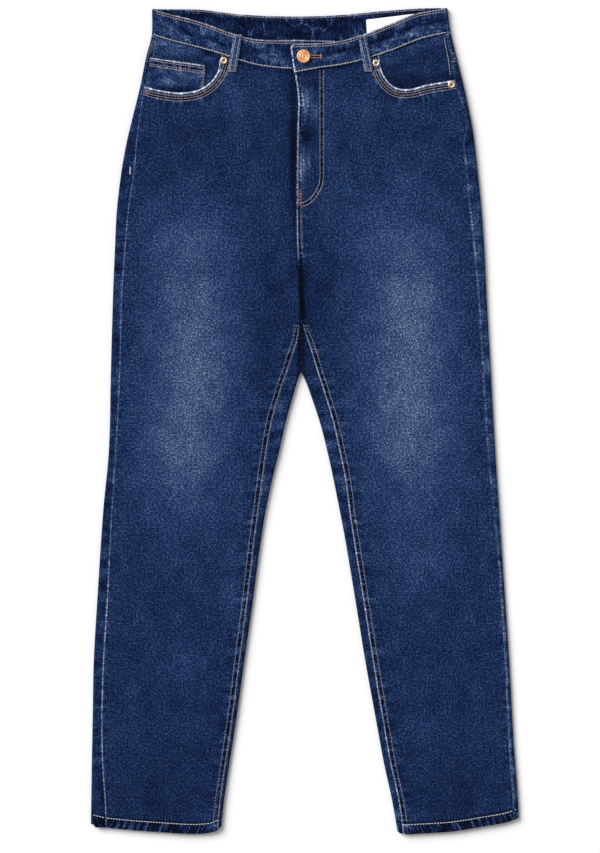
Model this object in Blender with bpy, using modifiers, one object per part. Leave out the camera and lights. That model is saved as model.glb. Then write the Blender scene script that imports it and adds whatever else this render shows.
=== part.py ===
"""Mom jeans, laid flat on their back with the front up.

Every place is given as a garment maker would measure it, in millimetres: "across" is the distance from
the middle of the garment, positive to the wearer's left, "down" is the distance below the corners of
the waistband, and "up" is the height above the table. place() turns them into metres: +X to the
wearer's left, +Y towards the waist, +Z up. The back panels wrap round both folds of each leg, so the
side seams and inseams lie on top, a little inside the outline.
"""

import bisect
import math

import bmesh
import bpy
from mathutils import Vector

MM = 0.001
MIDDLE_ACROSS = -0.24  # the outline's middle, which comes to the origin
MIDDLE_DOWN = 516.06

CLOTH = 1.2
HEM_CLOTH = 2.4  # the hem is turned up once, so it is twice as thick
HEM_DEEP = 13.0
BAND_CLOTH = 2.4  # the waistband is two layers with stiffening
LOOP_CLOTH = 1.4
LABEL_CLOTH = 1.0
ZIP_CLOTH = 1.2
GAP = 0.3  # between pieces, at seams and between layers

CENTRE_BACK = -5.0
CROTCH_DOWN = 394.0
APEX_DOWN = 455.0  # where the legs part
SEAT_LIFT = 1.5  # the seat lies on its patch pockets and belt loops
SEAT_LIFT_TO = 0.94  # the share of the half width where the seat comes down to the table
SEAT_LIFT_FADE = 0.16
SEAT_LIFT_DOWN = 360.0  # and how far down that is
SEAT_LIFT_FADE_DOWN = 45.0
FLY_TOP_DOWN = 80.0
FLY_END_DOWN = 245.0
FLY_WIDTH = 27.0
FLY_RAISE = 1.0
FLY_FADE = 14.0  # across which the left front comes down beside the fly
FLY_FADE_DOWN = 20.0
UNDERLAP_UP = 4.3
UNDERLAP_WIDTH = 26.0
UNDERLAP_DROP = 1.0  # its top edge is clear of the band's
UNDERLAP_SINK = 24.0  # across which the right front sinks to the underlap
ZIP_TOP_DOWN = 88.0
ZIP_END_DOWN = 236.0
ZIP_IN = 2.5  # from the fly's edge
ZIP_WIDE = 20.0

# The outline and the side seam, which lies side_in inside it. "right" is the wearer's right.
SIDE_RIGHT = (
    ("down", "outer", "side_in"),
    (0, 191.0, 3.9),
    (35, 191.5, 3.9),
    (62, 198.5, 3.9),
    (95, 205.0, 3.9),
    (128, 213.0, 7.0),
    (165, 222.0, 11.0),
    (203, 229.0, 15.0),
    (253, 235.0, 14.0),
    (303, 237.5, 12.0),
    (365, 240.0, 10.2),
    (455, 242.5, 10.5),
    (553, 245.0, 8.2),
    (628, 252.0, 10.3),
    (740, 259.5, 12.0),
    (815, 263.8, 11.6),
    (890, 265.3, 11.0),
    (943, 266.3, 13.0),
    (990, 267.0, 17.0),
    (1032, 267.5, 19.0),
)
SIDE_LEFT = (
    ("down", "outer", "side_in"),
    (0, 177.5, 5.0),
    (32, 182.0, 5.0),
    (65, 190.0, 6.5),
    (85, 195.0, 9.0),
    (108, 200.5, 8.3),
    (132, 205.5, 5.6),
    (150, 209.0, 7.5),
    (168, 211.5, 13.5),
    (203, 215.5, 14.2),
    (253, 220.5, 14.8),
    (303, 224.0, 13.0),
    (365, 227.0, 10.3),
    (455, 232.0, 10.0),
    (553, 237.5, 9.3),
    (628, 242.5, 7.0),
    (703, 247.5, 4.4),
    (815, 255.0, 4.2),
    (915, 260.5, 5.0),
    (990, 266.0, 5.5),
    (1032, 267.5, 6.6),
)
# The inner edge of each leg, from where the legs part to the hem, and how far inside it the inseam is.
INNER_RIGHT = (
    ("down", "inner", "inseam_in"),
    (455, 5.15, 16.5),
    (465, 9.0, 16.6),
    (490, 16.3, 17.0),
    (515, 23.3, 17.0),
    (553, 32.0, 15.2),
    (590, 41.0, 11.3),
    (628, 49.0, 8.3),
    (665, 55.0, 7.4),
    (740, 65.0, 6.0),
    (815, 75.5, 5.0),
    (890, 86.0, 4.0),
    (990, 101.0, 3.8),
    (1032, 105.0, 3.8),
)
INNER_LEFT = (
    ("down", "inner", "inseam_in"),
    (455, -4.85, 19.9),
    (465, 0.0, 18.6),
    (478, 5.0, 17.6),
    (515, 17.6, 16.3),
    (553, 27.5, 15.0),
    (590, 35.6, 14.3),
    (628, 43.2, 11.6),
    (665, 50.2, 10.2),
    (740, 62.8, 9.6),
    (815, 75.0, 9.2),
    (890, 88.6, 8.0),
    (943, 98.4, 7.6),
    (990, 108.6, 7.8),
    (1032, 116.0, 6.2),
)
# Both inseams from the crotch point down to where the legs part.
CROTCH = (
    ("down", "right_across", "left_across"),
    (394, -6.3, -3.7),
    (404, -6.9, -1.3),
    (418, -9.4, 3.6),
    (434, -15.0, 8.8),
    (455, -21.7, 15.0),
)
# The fly edge, and below it the seam between the fronts.
CENTRE_FRONT = (
    ("down", "across"),
    (76, -13.4),
    (92, -11.6),
    (116, -8.6),
    (155, -9.8),
    (203, -10.5),
    (260, -10.8),
    (300, -10.0),
    (328, -8.2),
    (365, -6.6),
    (394, -5.4),
)
BAND_RIGHT = (
    ("across", "top", "bottom"),
    (-191, 2.6, 35.0),
    (-169, 8.6, 41.8),
    (-131, 18.6, 51.6),
    (-102, 29.0, 60.0),
    (-81, 35.8, 67.0),
    (-61, 40.2, 72.6),
    (-37, 41.2, 76.0),
    (-6, 41.0, 77.4),
    (16, 41.4, 74.4),
    (38, 42.2, 71.6),
)
BAND_LEFT = (
    ("across", "top", "bottom"),
    (-19, 46.6, 84.2),
    (-6, 45.8, 81.0),
    (21, 45.2, 76.2),
    (44, 42.4, 73.0),
    (70, 35.2, 67.0),
    (89, 28.6, 61.0),
    (111, 19.6, 53.6),
    (137, 8.8, 42.8),
    (156, 4.6, 37.0),
    (182, 1.0, 32.0),
)
BAND_BACK = (
    ("across", "top", "bottom"),
    (-191, 2.0, 35.0),
    (-131, 3.0, 37.0),
    (-100, 6.8, 41.0),
    (-60, 10.2, 45.0),
    (-5, 11.4, 46.5),
    (44, 9.6, 45.0),
    (94, 5.0, 40.0),
    (144, 1.4, 35.0),
    (180, 0.4, 32.0),
)
YOKE_SEAM = (
    ("across", "down"),
    (-200, 62.0),
    (-110, 82.0),
    (-5, 106.0),
    (100, 82.0),
    (190, 62.0),
)
# The edge of each front pocket, from the side seam to the waistband.
OPENING_RIGHT = (
    ("across", "down"),
    (-201.0, 98.6),
    (-186.0, 102.8),
    (-170.0, 105.6),
    (-158.0, 106.8),
    (-146.0, 106.0),
    (-132.0, 102.8),
    (-119.5, 95.0),
    (-111.0, 84.5),
    (-106.3, 73.0),
    (-104.6, 59.8),
)
OPENING_LEFT = (
    ("across", "down"),
    (187.5, 91.0),
    (169.0, 94.0),
    (150.0, 97.2),
    (139.0, 100.6),
    (129.0, 102.4),
    (118.0, 102.0),
    (108.0, 97.4),
    (99.5, 87.0),
    (94.6, 76.0),
    (92.4, 60.0),
)
# The hem, by the share of the leg's width from its outer edge.
HEM = (
    ("share", "right_down", "left_down"),
    (0.00, 1019.0, 1011.0),
    (0.10, 1023.0, 1017.0),
    (0.30, 1026.5, 1022.5),
    (0.55, 1029.5, 1028.5),
    (0.80, 1031.5, 1031.0),
    (0.95, 1028.5, 1031.6),
    (1.00, 1022.0, 1028.0),
)
# The height of the top layer's outer face, thicker where pockets and seams lie under it.
LAID_HEIGHT = (
    ("down", "up"),
    (0, 7.4),
    (60, 7.6),
    (125, 7.5),
    (200, 6.7),
    (330, 6.1),
    (480, 5.7),
    (900, 5.6),
    (1015, 6.1),
    (1032, 6.2),
)
# The largest soft folds of the laid cloth: where each is, how long and wide, which way it runs in
# degrees from straight across, and how far it stands up, or sinks where that is negative.
FOLDS = (
    ("across", "down", "length", "width", "turn", "rise"),
    (-150, 330, 120, 34, -62, 0.55),
    (-90, 400, 95, 30, -38, -0.40),
    (-60, 340, 80, 26, -30, 0.35),
    (55, 345, 85, 28, 34, 0.45),
    (95, 420, 100, 30, 42, -0.40),
    (150, 360, 130, 36, 70, 0.50),
    (-175, 620, 110, 30, 20, -0.45),
    (-165, 680, 95, 28, 10, 0.50),
    (165, 640, 105, 30, -16, 0.45),
    (150, 705, 100, 28, -8, -0.45),
    (-185, 880, 120, 32, 78, 0.40),
    (195, 900, 120, 32, -80, 0.40),
)
LEFT_BAND_UP = (
    ("across", "up"),
    (-20, 9.4),
    (36, 9.4),
    (62, 8.3),
    (100, 8.1),
    (182, 7.4),
)
RIGHT_BAND_UP = (
    ("across", "up"),
    (-191, 7.4),
    (-120, 7.8),
    (-60, 7.4),
    (-24, 6.7),
    (40, 6.7),
)
UNDERLAP_END = 38.0
BAND_FOLD_DOWN = 16.0  # halfway down the band at its folds
BAND_SIDE_DOWN = 36.0  # its lower edge there
# Where the waistband's seam bends, counted outwards from the middle. The pieces below share these.
SEAM_BENDS = {
    "right": (172, 152, 135, 118, 104.6, 92, 78, 62, 44, 28),
    "left": (170, 156, 142, 128, 115, 104, 92.4, 80, 66, 50, 36, 22, 8, -4),
}
UNDER_SHARES = (0.94, 0.78, 0.52, 0.26)  # columns of the underside, by the share of its half width
# Rows of the panels, at the side seam. The rows from SEAT_ROW down to HEM_BEND run straight across.
ROWS = (
    62, 80, 100, 118, 136, 152, 168, 200, 235, 265, 300, 345, 388, 394, 404, 418, 434, 455, 463,
    478, 500, 530, 565, 600, 640, 690, 745, 800, 855, 910, 965,
)
ROW_LEAST = 12.0  # between the pocket's edge and the first row below it
COLUMNS_EVEN_DOWN = 150.0  # below the waist, the front's columns are evenly apart
SEAT_ROW = 200.0
HEM_BEND = 860.0
HEM_ROW = 1031.0
TAB_TOP = -18.6  # the tab's end slants
TAB_BOTTOM = -13.4
TAB_CORNER = 3.2

FACING_UNDER = 19.0  # how far each facing runs on below the pocket's edge
FACING_TOP_DEPTH = 1.6
FACING_SINK_DOWN = 28.0
FACING_SINK = 46.0
FACING_SHORTEST = 7.0
FACING_PAST_CORNER = 14.0
COIN_POCKET = (
    ("corner", "across", "down"),
    ("top_side", -196.0, 62.6),
    ("top_inner", -124.4, 72.4),
    ("bottom_inner", -127.5, 117.0),
    ("bottom_side", -206.0, 114.0),
)
BACK_POCKET = (
    ("inner", "down"),
    (0.00, 132.0),
    (1.00, 124.0),
    (0.93, 262.0),
    (0.50, 286.0),
    (0.07, 264.0),
)
BACK_POCKET_INNER = 24.0
BACK_POCKET_WIDE = 124.0

LOOP_WIDE = 10.5
LOOP_STAND = 0.9  # how far its middle stands off the band
LOOP_STEP_DOWN = 6.0
LOOP_BELOW = 11.0  # below the band's seam, on the back
FRONT_LOOPS = (
    ("name", "top_across", "top_down", "foot_across", "foot_down"),
    ("belt_loop_front_right", -83.5, 34.6, -90.6, 81.5),
    ("belt_loop_front_left", 71.0, 35.4, 79.6, 81.0),
)
BACK_LOOPS = (("name", "across"), ("belt_loop_back_right", -112.0),
              ("belt_loop_centre_back", CENTRE_BACK), ("belt_loop_back_left", 100.0))

BUTTON_ACROSS, BUTTON_DOWN = -1.75, 62.0
BUTTON_RADIUS = 8.5
SHANK_RADIUS = 2.2
BUTTONHOLE_EYE = 3.0
BUTTONHOLE_SLIT = 1.6
BUTTONHOLE_END = 19.5
RIVETS = (
    ("name", "across", "down"),
    ("rivet_right_pocket", -101.2, 66.8),
    ("rivet_left_pocket_inner", 88.6, 70.0),
    ("rivet_left_pocket_side", 182.6, 97.0),
)
RIVET_RADIUS = 4.4
LABEL = (("corner", "across", "down"), ("top_inner", 76.4, 15.6), ("top_outer", 138.0, 8.0),
         ("bottom_outer", 140.5, 29.5), ("bottom_inner", 77.6, 37.5))

DENIM = (0.030, 0.052, 0.130)
DARK_DENIM = (0.016, 0.026, 0.070)
COPPER = (0.62, 0.34, 0.17)
SILVER = (0.62, 0.60, 0.56)
WHITE = (0.80, 0.79, 0.77)


# ---------------------------------------------------------------- reading the tables


def curve(table, along, value):
    """A smooth function of one named column of a table, read along another."""
    names, *rows = table
    ats = [row[names.index(along)] for row in rows]
    values = [row[names.index(value)] for row in rows]
    last = len(rows) - 1
    slopes = [
        (values[min(k + 1, last)] - values[max(k - 1, 0)]) / (ats[min(k + 1, last)] - ats[max(k - 1, 0)])
        for k in range(len(rows))
    ]

    def read(at):
        k = min(max(bisect.bisect_right(ats, at) - 1, 0), last - 1)
        step = ats[k + 1] - ats[k]
        t = min(max((at - ats[k]) / step, 0.0), 1.0)
        return (
            (1 + 2 * t) * (1 - t) ** 2 * values[k]
            + t * (1 - t) ** 2 * step * slopes[k]
            + t * t * (3 - 2 * t) * values[k + 1]
            + t * t * (t - 1) * step * slopes[k + 1]
        )

    return read


def route(table):
    """A smooth line through a table's (across, down) rows, read by a share of its length from 0 to 1."""
    rows = [row[-2:] for row in table[1:]]
    lengths = [0.0]
    for a, b in zip(rows, rows[1:]):
        lengths.append(lengths[-1] + math.dist(a, b))
    names = ("length", "across", "down")
    by_length = (names, *((at, *row) for at, row in zip(lengths, rows)))
    across = curve(by_length, "length", "across")
    down = curve(by_length, "length", "down")
    return lambda share: (across(share * lengths[-1]), down(share * lengths[-1]))


def ease(t):
    t = min(max(t, 0.0), 1.0)
    return t * t * (3 - 2 * t)


def mix(a, b, share):
    return a + (b - a) * share


def shares(count):
    return [k / count for k in range(count + 1)]


def rows_of(table):
    names, *rows = table
    return [dict(zip(names, row)) for row in rows]


def corners_of(table):
    return {row["corner"]: (row["across"], row["down"]) for row in rows_of(table)}


def place(across, down, up):
    return Vector((across - MIDDLE_ACROSS, MIDDLE_DOWN - down, up)) * MM


# ---------------------------------------------------------------- the laid form


class Leg:
    """One side of the garment: its outline and seams, as distances from the middle that are positive
    outwards. way is 1 on the wearer's left and -1 on the right."""

    def __init__(self, way, side, inner, hem, inseam):
        self.way = way
        self.outer = curve(side, "down", "outer")
        self.side_in = curve(side, "down", "side_in")
        self.inner = curve(inner, "down", "inner")
        self.inseam_in = curve(inner, "down", "inseam_in")
        self.hem = curve(HEM, "share", hem)
        self.crotch = curve(CROTCH, "down", inseam)

    def side_seam(self, down):
        return self.outer(down) - self.side_in(down)

    def inseam(self, down):
        """The inseam, or above the crotch the centre front, measured outwards."""
        if down >= APEX_DOWN:
            return self.inner(down) + self.inseam_in(down)
        if down >= CROTCH_DOWN:
            return self.way * self.crotch(down)
        return self.way * centre_front(down)

    def hem_at(self, out):
        lowest = HEM[-1][1]
        share = (self.outer(lowest) - out) / (self.outer(lowest) - self.inner(lowest))
        return self.hem(min(max(share, 0.0), 1.0))


centre_front = curve(CENTRE_FRONT, "down", "across")
laid_height = curve(LAID_HEIGHT, "down", "up")
LEGS = {
    "left": Leg(1, SIDE_LEFT, INNER_LEFT, "left_down", "left_across"),
    "right": Leg(-1, SIDE_RIGHT, INNER_RIGHT, "right_down", "right_across"),
}
bands = {
    name: (curve(table, "across", "top"), curve(table, "across", "bottom"))
    for name, table in (("left", BAND_LEFT), ("right", BAND_RIGHT), ("back", BAND_BACK))
}
band_ups = {"left": curve(LEFT_BAND_UP, "across", "up"), "right": curve(RIGHT_BAND_UP, "across", "up")}
yoke_seam = curve(YOKE_SEAM, "across", "down")


def folds_at(across, down):
    up = 0.0
    for fold in rows_of(FOLDS):
        turn = math.radians(fold["turn"])
        right, below = across - fold["across"], down - fold["down"]
        along = right * math.cos(turn) + below * math.sin(turn)
        beside = below * math.cos(turn) - right * math.sin(turn)
        up += fold["rise"] * math.exp(-((along / fold["length"]) ** 2) - (beside / fold["width"]) ** 2)
    return up


def top_up(across, down):
    """The height of the outer face of the fronts, and of the back where it shows beside them."""
    return laid_height(down) + folds_at(across, down)


def under_up(leg, out, down):
    """The height of the underside: on the table, or on the patch pockets and loops under the seat."""
    beside = min(max((SEAT_LIFT_TO - out / leg.outer(down)) / SEAT_LIFT_FADE, 0.0), 1.0)
    above = min(max((SEAT_LIFT_DOWN - down) / SEAT_LIFT_FADE_DOWN, 0.0), 1.0)
    return SEAT_LIFT * beside * above


def fly_share(down):
    return 1 - ease((down - FLY_END_DOWN) / FLY_FADE_DOWN)


def left_front_up(across, down):
    """The wearer's left front stands up over the underlap and the zip."""
    beside = 1 - ease((across - centre_front(down) - FLY_WIDTH) / FLY_FADE)
    return top_up(across, down) + FLY_RAISE * beside * fly_share(down)


def right_front_up(across, down):
    """The wearer's right front sinks towards the fly, and its underlap lies under the zip."""
    sink = ease(1 + (across - centre_front(down) - 4) / UNDERLAP_SINK) * fly_share(down)
    return mix(top_up(across, down), UNDERLAP_UP, sink)


def facing_up(depth):
    """A pocket facing lies this deep under the front at the pocket's edge, and less at the waist."""

    def up_of(across, down):
        lowered = ease((down - FACING_SINK_DOWN) / FACING_SINK)
        return top_up(across, down) - mix(FACING_TOP_DEPTH, depth, lowered)

    return up_of


# ---------------------------------------------------------------- making objects


def material(name, colour, roughness, metallic=0.0):
    made = bpy.data.materials.new(name)
    made.use_nodes = True
    shader = made.node_tree.nodes["Principled BSDF"]
    shader.inputs["Base Color"].default_value = (*colour, 1)
    shader.inputs["Roughness"].default_value = roughness
    shader.inputs["Metallic"].default_value = metallic
    return made


def add(name, bm, finish, modifiers=()):
    mesh = bpy.data.meshes.new(name)
    bm.to_mesh(mesh)
    bm.free()
    mesh.materials.append(finish)
    made = bpy.data.objects.new(name, mesh)
    jeans.objects.link(made)
    for kind, settings in modifiers:
        modifier = made.modifiers.new(kind.title(), kind)
        if "vertex_group" in settings:
            made.vertex_groups.new(name=settings["vertex_group"])
        for key, value in settings.items():
            setattr(modifier, key, value)
    return made


def wall(thickness, **more):
    """Solidify inwards from the outer face."""
    settings = {"thickness": thickness * MM, "offset": -1, "use_even_offset": True}
    return ("SOLIDIFY", {**settings, **more})


def sheet(name, grid, finish, thickness, to_left=True, hem_rows=0):
    """A cloth piece from a grid of outer points, whose missing points leave openings. to_left says
    that its rows run towards the wearer's left on the garment's top. The last hem_rows rows are
    HEM_CLOTH thick."""
    bm = bmesh.new()
    weights = bm.verts.layers.deform.verify()
    points = [[p and bm.verts.new(place(*p)) for p in row] for row in grid]
    for upper, lower in zip(points, points[1:]):
        for (a, d), (b, c) in zip(zip(upper, lower), zip(upper[1:], lower[1:])):
            if a and b and c and d:
                bm.faces.new((a, d, c, b) if to_left else (a, b, c, d))
    for row in points[len(points) - hem_rows:]:
        for vert in filter(None, row):
            vert[weights][0] = 1.0
    if hem_rows:
        solid = wall(HEM_CLOTH, vertex_group="hem", thickness_vertex_group=thickness / HEM_CLOTH)
    else:
        solid = wall(thickness)
    return add(name, bm, finish, [solid])


def turned(name, profile, across, down, up, finish, steps=20):
    """A profile of (radius, height) points from the top down, spun round Z."""
    bm = bmesh.new()
    verts = [bm.verts.new((radius * MM, 0, height * MM)) for radius, height in profile]
    for a, b in zip(verts, verts[1:]):
        bm.edges.new((a, b))
    spin = {"steps": steps, "render_steps": steps, "use_merge_vertices": True, "merge_threshold": 1e-6,
            "use_smooth_shade": True}
    made = add(name, bm, finish, [("SCREW", spin)])
    made.location = place(across, down, up)
    return made


# ---------------------------------------------------------------- fronts


def leg_down(leg, row, out):
    """The place down of a row, which bends with the hem towards its foot."""
    bend = ease((row - HEM_BEND) / (HEM_ROW - HEM_DEEP - HEM_BEND))
    return row + (leg.hem_at(out) - HEM_ROW) * bend


def foot_rows():
    """The last rows, where the hem is turned up, and its edge."""
    return [HEM_ROW - HEM_DEEP, HEM_ROW - HEM_DEEP + 1, HEM_ROW]


def front(leg, opening, side, up_of, underlap=False):
    """A front from the side seam, round the pocket's edge, to the fly, and down to the hem."""
    edge = route(opening)
    corner = abs(opening[-1][0])
    tops = [(leg.way * across, down) for across, down in map(edge, shares(9))]
    waist = [out for out in SEAM_BENDS[side] if out < corner] + [leg.way * centre_front(FLY_TOP_DOWN)]
    band_bottom = bands[side][1]
    tops += [(out, band_bottom(leg.way * out) + GAP / 2) for out in waist]
    first = tops[0][1]
    rows = [first] + [row for row in ROWS if row > first + ROW_LEAST] + foot_rows()
    columns = []
    for k, (out, top) in enumerate(tops):
        even = k / (len(tops) - 1)
        seam, centre = leg.side_seam(top), leg.inseam(top)
        at_top = (seam - out) / (seam - centre)
        column = []
        for row in rows:
            if row < SEAT_ROW:
                down = mix(top, SEAT_ROW, (row - first) / (SEAT_ROW - first))
            else:
                down = leg_down(leg, row, mix(leg.side_seam(row), leg.inseam(row), even))
            share = min(max(mix(at_top, even, ease((down - top) / COLUMNS_EVEN_DOWN)), 0.0), 1.0)
            x = leg.way * mix(leg.side_seam(down) - GAP / 2, leg.inseam(down) + GAP / 2, share)
            column.append((x, down, up_of(x, down)))
        columns.append(column)
    grid = [list(row) for row in zip(*columns)]
    for row in grid if underlap else ():
        across, down, _ = row[-1]
        for share in shares(3)[1:]:
            x = across + UNDERLAP_WIDTH * share
            row.append((x, down + UNDERLAP_DROP, up_of(x, down)) if down < FLY_END_DOWN else None)
    return grid


# ---------------------------------------------------------------- back


def half_round(reach, low, high, steps):
    """Half an ellipse from its top to its foot, as (distance short of the edge, height) pairs."""
    middle, rise = (low + high) / 2, (high - low) / 2
    turns = [math.radians(mix(90, -90, share)) for share in shares(steps)]
    return [(reach - reach * math.cos(turn), middle + rise * math.sin(turn)) for turn in turns]


def side_points(leg, row, down_at, steps=6):
    """From the side seam on top, round the outer fold to the underside. down_at(out, front_share) is
    how far down this row lies there."""
    down = down_at(leg.side_seam(row), 1.0)
    outer = leg.outer(down)
    reach = min(top_up(leg.way * outer, down) / 2, leg.side_in(down) - GAP)
    seam = leg.side_seam(down) + GAP / 2
    points = [(seam, down, top_up(leg.way * seam, down))]
    high = top_up(leg.way * (outer - reach), down)
    for k, (short, up) in enumerate(half_round(reach, 0.0, high, steps)):
        at = down_at(outer - short, 1 - k / steps)
        points.append((leg.outer(at) - short, at, up))
    return points


def under_points(leg, row, inner, down_at):
    points = []
    for share in UNDER_SHARES:
        out = mix(inner, leg.outer(row), share)
        down = down_at(out, 0.0)
        points.append((out, down, under_up(leg, out, down)))
    return points


def yoke(leg, side):
    """The strip between the waistband and the back panel, from the side seam round to the centre back."""
    seat = leg.way * CENTRE_BACK + GAP / 2
    grid = []
    for share_down in shares(3):
        row = mix(BAND_SIDE_DOWN, ROWS[0], share_down)

        def down_at(out, front_share):
            across = leg.way * out
            top = mix(bands["back"][1](across), bands[side][1](across), front_share) + GAP / 2
            return mix(top, mix(yoke_seam(across), ROWS[0], front_share) - GAP / 2, share_down)

        points = side_points(leg, row, down_at) + under_points(leg, row, seat, down_at)
        down = down_at(seat, 0.0)
        points.append((seat, down, under_up(leg, seat, down)))
        grid.append(points)
    return [[(leg.way * out, down, up) for out, down, up in row] for row in grid]


def back(leg):
    """A back panel from the side seam, round the outer fold, under the leg and up round the inner fold
    to the inseam. Above where the legs part, it ends at the centre back seam on both faces."""
    seat = leg.way * CENTRE_BACK + GAP / 2
    round_steps, strip = 5, shares(2)
    grid = []
    for row in (*ROWS, *foot_rows()):

        def down_at(out, front_share):
            if row >= SEAT_ROW:
                return leg_down(leg, row, out)
            top = mix(yoke_seam(leg.way * out), ROWS[0], front_share) + GAP / 2
            return mix(top, SEAT_ROW, (row - ROWS[0]) / (SEAT_ROW - ROWS[0]))

        points = side_points(leg, row, down_at)
        if row <= APEX_DOWN:
            inner, high = seat, top_up(leg.way * seat, APEX_DOWN)
            reach = high / 2
        else:
            level = down_at(leg.inner(row), 0.0)
            inner = leg.inner(level)
            high = top_up(leg.way * inner, level)
            reach = min(high / 2, leg.inseam_in(level) - GAP)
        points += under_points(leg, row, inner, down_at)
        if row < APEX_DOWN:
            points.append((seat, down_at(seat, 0.0), under_up(leg, seat, down_at(seat, 0.0))))
            points += [None] * (round_steps - 1)
            for share in strip:
                out = mix(seat, leg.way * leg.crotch(row) - GAP / 2, share)
                points.append((out, row, top_up(leg.way * out, row)) if row >= CROTCH_DOWN else None)
        else:
            fold = reversed(half_round(reach, 0.0, high, round_steps))
            for short, up in fold:
                if row == APEX_DOWN:  # here the fold faces down the garment
                    points.append((seat, APEX_DOWN - short, up))
                else:
                    points.append((inner + short, down_at(inner + short, 0.0), up))
            start_out, start_down, _ = points[-1]
            seam_down = down_at(leg.inseam(row), 0.0)
            for share in strip[1:]:
                out = mix(start_out, leg.inseam(seam_down) - GAP / 2, share)
                down = mix(start_down, seam_down, share)
                points.append((out, down, top_up(leg.way * out, down)))
        grid.append(points)
    return [[p and (leg.way * p[0], p[1], p[2]) for p in row] for row in grid]


def back_pocket(leg):
    """A plain patch pocket under the seat, flat on the table."""
    bm = bmesh.new()
    start = leg.way * CENTRE_BACK + BACK_POCKET_INNER
    outline = [
        bm.verts.new(place(leg.way * (start + row["inner"] * BACK_POCKET_WIDE), row["down"], 0.0))
        for row in rows_of(BACK_POCKET)
    ]
    bm.faces.new(reversed(outline) if leg.way < 0 else outline)
    return bm


# ---------------------------------------------------------------- waistband


def band_fold(leg, side, share_down):
    """The band's round fold at one side, from the front to the back."""
    across = leg.way * leg.outer(BAND_FOLD_DOWN)
    edges = [edge(across) for edge in bands[side]]
    edges_back = [edge(across) for edge in bands["back"]]
    high = band_ups[side](across)
    points = []
    steps = 6
    for k, (short, up) in enumerate(half_round(high / 2, 0.0, high, steps)):
        edge, edge_back = (mix(*ends, share_down) - GAP / 2 for ends in (edges, edges_back))
        down = mix(edge, edge_back, k / steps)
        points.append((leg.way * (leg.outer(down) - short), down, up))
    return points


def waistband_grid():
    """The band as one strip: from its underlap, across the wearer's right front, round the back, and
    over the left front to the tab that ends over the underlap."""
    right, left = LEGS["right"], LEGS["left"]
    grid = []
    for share_down in (0.0, 0.1, 0.5, 0.9, 1.0):

        def on_front(side, across):
            top, bottom = bands[side]
            return (across, mix(top(across), bottom(across), share_down) - GAP / 2, band_ups[side](across))

        def on_back(leg, share):
            out = mix(leg.way * CENTRE_BACK, leg.outer(BAND_SIDE_DOWN), share)
            top, bottom = bands["back"]
            down = mix(top(leg.way * out), bottom(leg.way * out), share_down) - GAP / 2
            return (leg.way * out, down, under_up(leg, out, down))

        end = mix(TAB_TOP, TAB_BOTTOM, share_down) + (TAB_CORNER if share_down == 0.0 else 0.0)
        row = [on_front("right", across) for across in (UNDERLAP_END, 12, centre_front(FLY_TOP_DOWN))]
        row += [on_front("right", -out) for out in reversed(SEAM_BENDS["right"])]
        row += band_fold(right, "right", share_down)
        row += [on_back(right, share) for share in (*UNDER_SHARES, 0.0)]
        row += [on_back(left, share) for share in reversed(UNDER_SHARES)]
        row += reversed(band_fold(left, "left", share_down))
        row += [on_front("left", out) for out in (*SEAM_BENDS["left"], end)]
        grid.append(row)
    return grid


def keyhole():
    """The cutter for the buttonhole: a round eye under the button and a slit away from it."""
    bm = bmesh.new()
    eye = [mix(20, 340, share) for share in shares(14)]  # degrees, open where the slit starts
    slit_half = BUTTONHOLE_SLIT / 2
    outline = [
        (BUTTON_ACROSS + BUTTONHOLE_EYE * math.cos(math.radians(turn)),
         BUTTON_DOWN + BUTTONHOLE_EYE * math.sin(math.radians(turn)))
        for turn in eye
    ]
    outline += [(BUTTONHOLE_END, BUTTON_DOWN - slit_half), (BUTTONHOLE_END, BUTTON_DOWN + slit_half)]
    low, high = (RIGHT_BAND_UP[-1][1] + LEFT_BAND_UP[1][1] - BAND_CLOTH) / 2, LEFT_BAND_UP[1][1] + BAND_CLOTH
    face = bm.faces.new([bm.verts.new(place(across, down, low)) for across, down in outline])
    risen = bmesh.ops.extrude_face_region(bm, geom=[face])
    bmesh.ops.translate(
        bm,
        verts=[v for v in risen["geom"] if isinstance(v, bmesh.types.BMVert)],
        vec=(0, 0, (high - low) * MM),
    )
    bmesh.ops.recalc_face_normals(bm, faces=bm.faces[:])
    mesh = bpy.data.meshes.new("buttonhole_cutter")
    bm.to_mesh(mesh)
    bm.free()
    made = bpy.data.objects.new("buttonhole_cutter", mesh)
    cutters.objects.link(made)
    made.hide_render = True
    made.display_type = "WIRE"
    return made


# ---------------------------------------------------------------- pockets, loops and trim


def facing(leg, opening, side, depth):
    """The cloth that shows inside a front pocket, from the waistband to below the pocket's edge."""
    edge = route(opening)
    up_of = facing_up(depth)
    innermost = abs(opening[-1][0]) - FACING_PAST_CORNER
    outs = [leg.side_seam(BAND_SIDE_DOWN)] + [out for out in SEAM_BENDS[side] if out > innermost]
    columns = []
    for k, top_out in enumerate(outs):
        share = k / (len(outs) - 1)
        top = bands[side][1](leg.way * top_out) + GAP / 2
        across, down_here = edge(share)
        behind, ahead = (Vector(edge(min(max(share + step, 0), 1))) for step in (-0.02, 0.02))
        along = (ahead - behind).normalized()
        low_out = leg.way * across + along.y * FACING_UNDER
        low = max(down_here - leg.way * along.x * FACING_UNDER, top + FACING_SHORTEST)
        column = []
        for share_down in shares(4):
            down = mix(top, low, share_down)
            out = mix(top_out, low_out, share_down) if k else leg.side_seam(down)
            out = min(out, leg.side_seam(down) - GAP / 2)
            column.append((leg.way * out, down, up_of(leg.way * out, down)))
        columns.append(column)
    return [list(row) for row in zip(*columns)]


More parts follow.
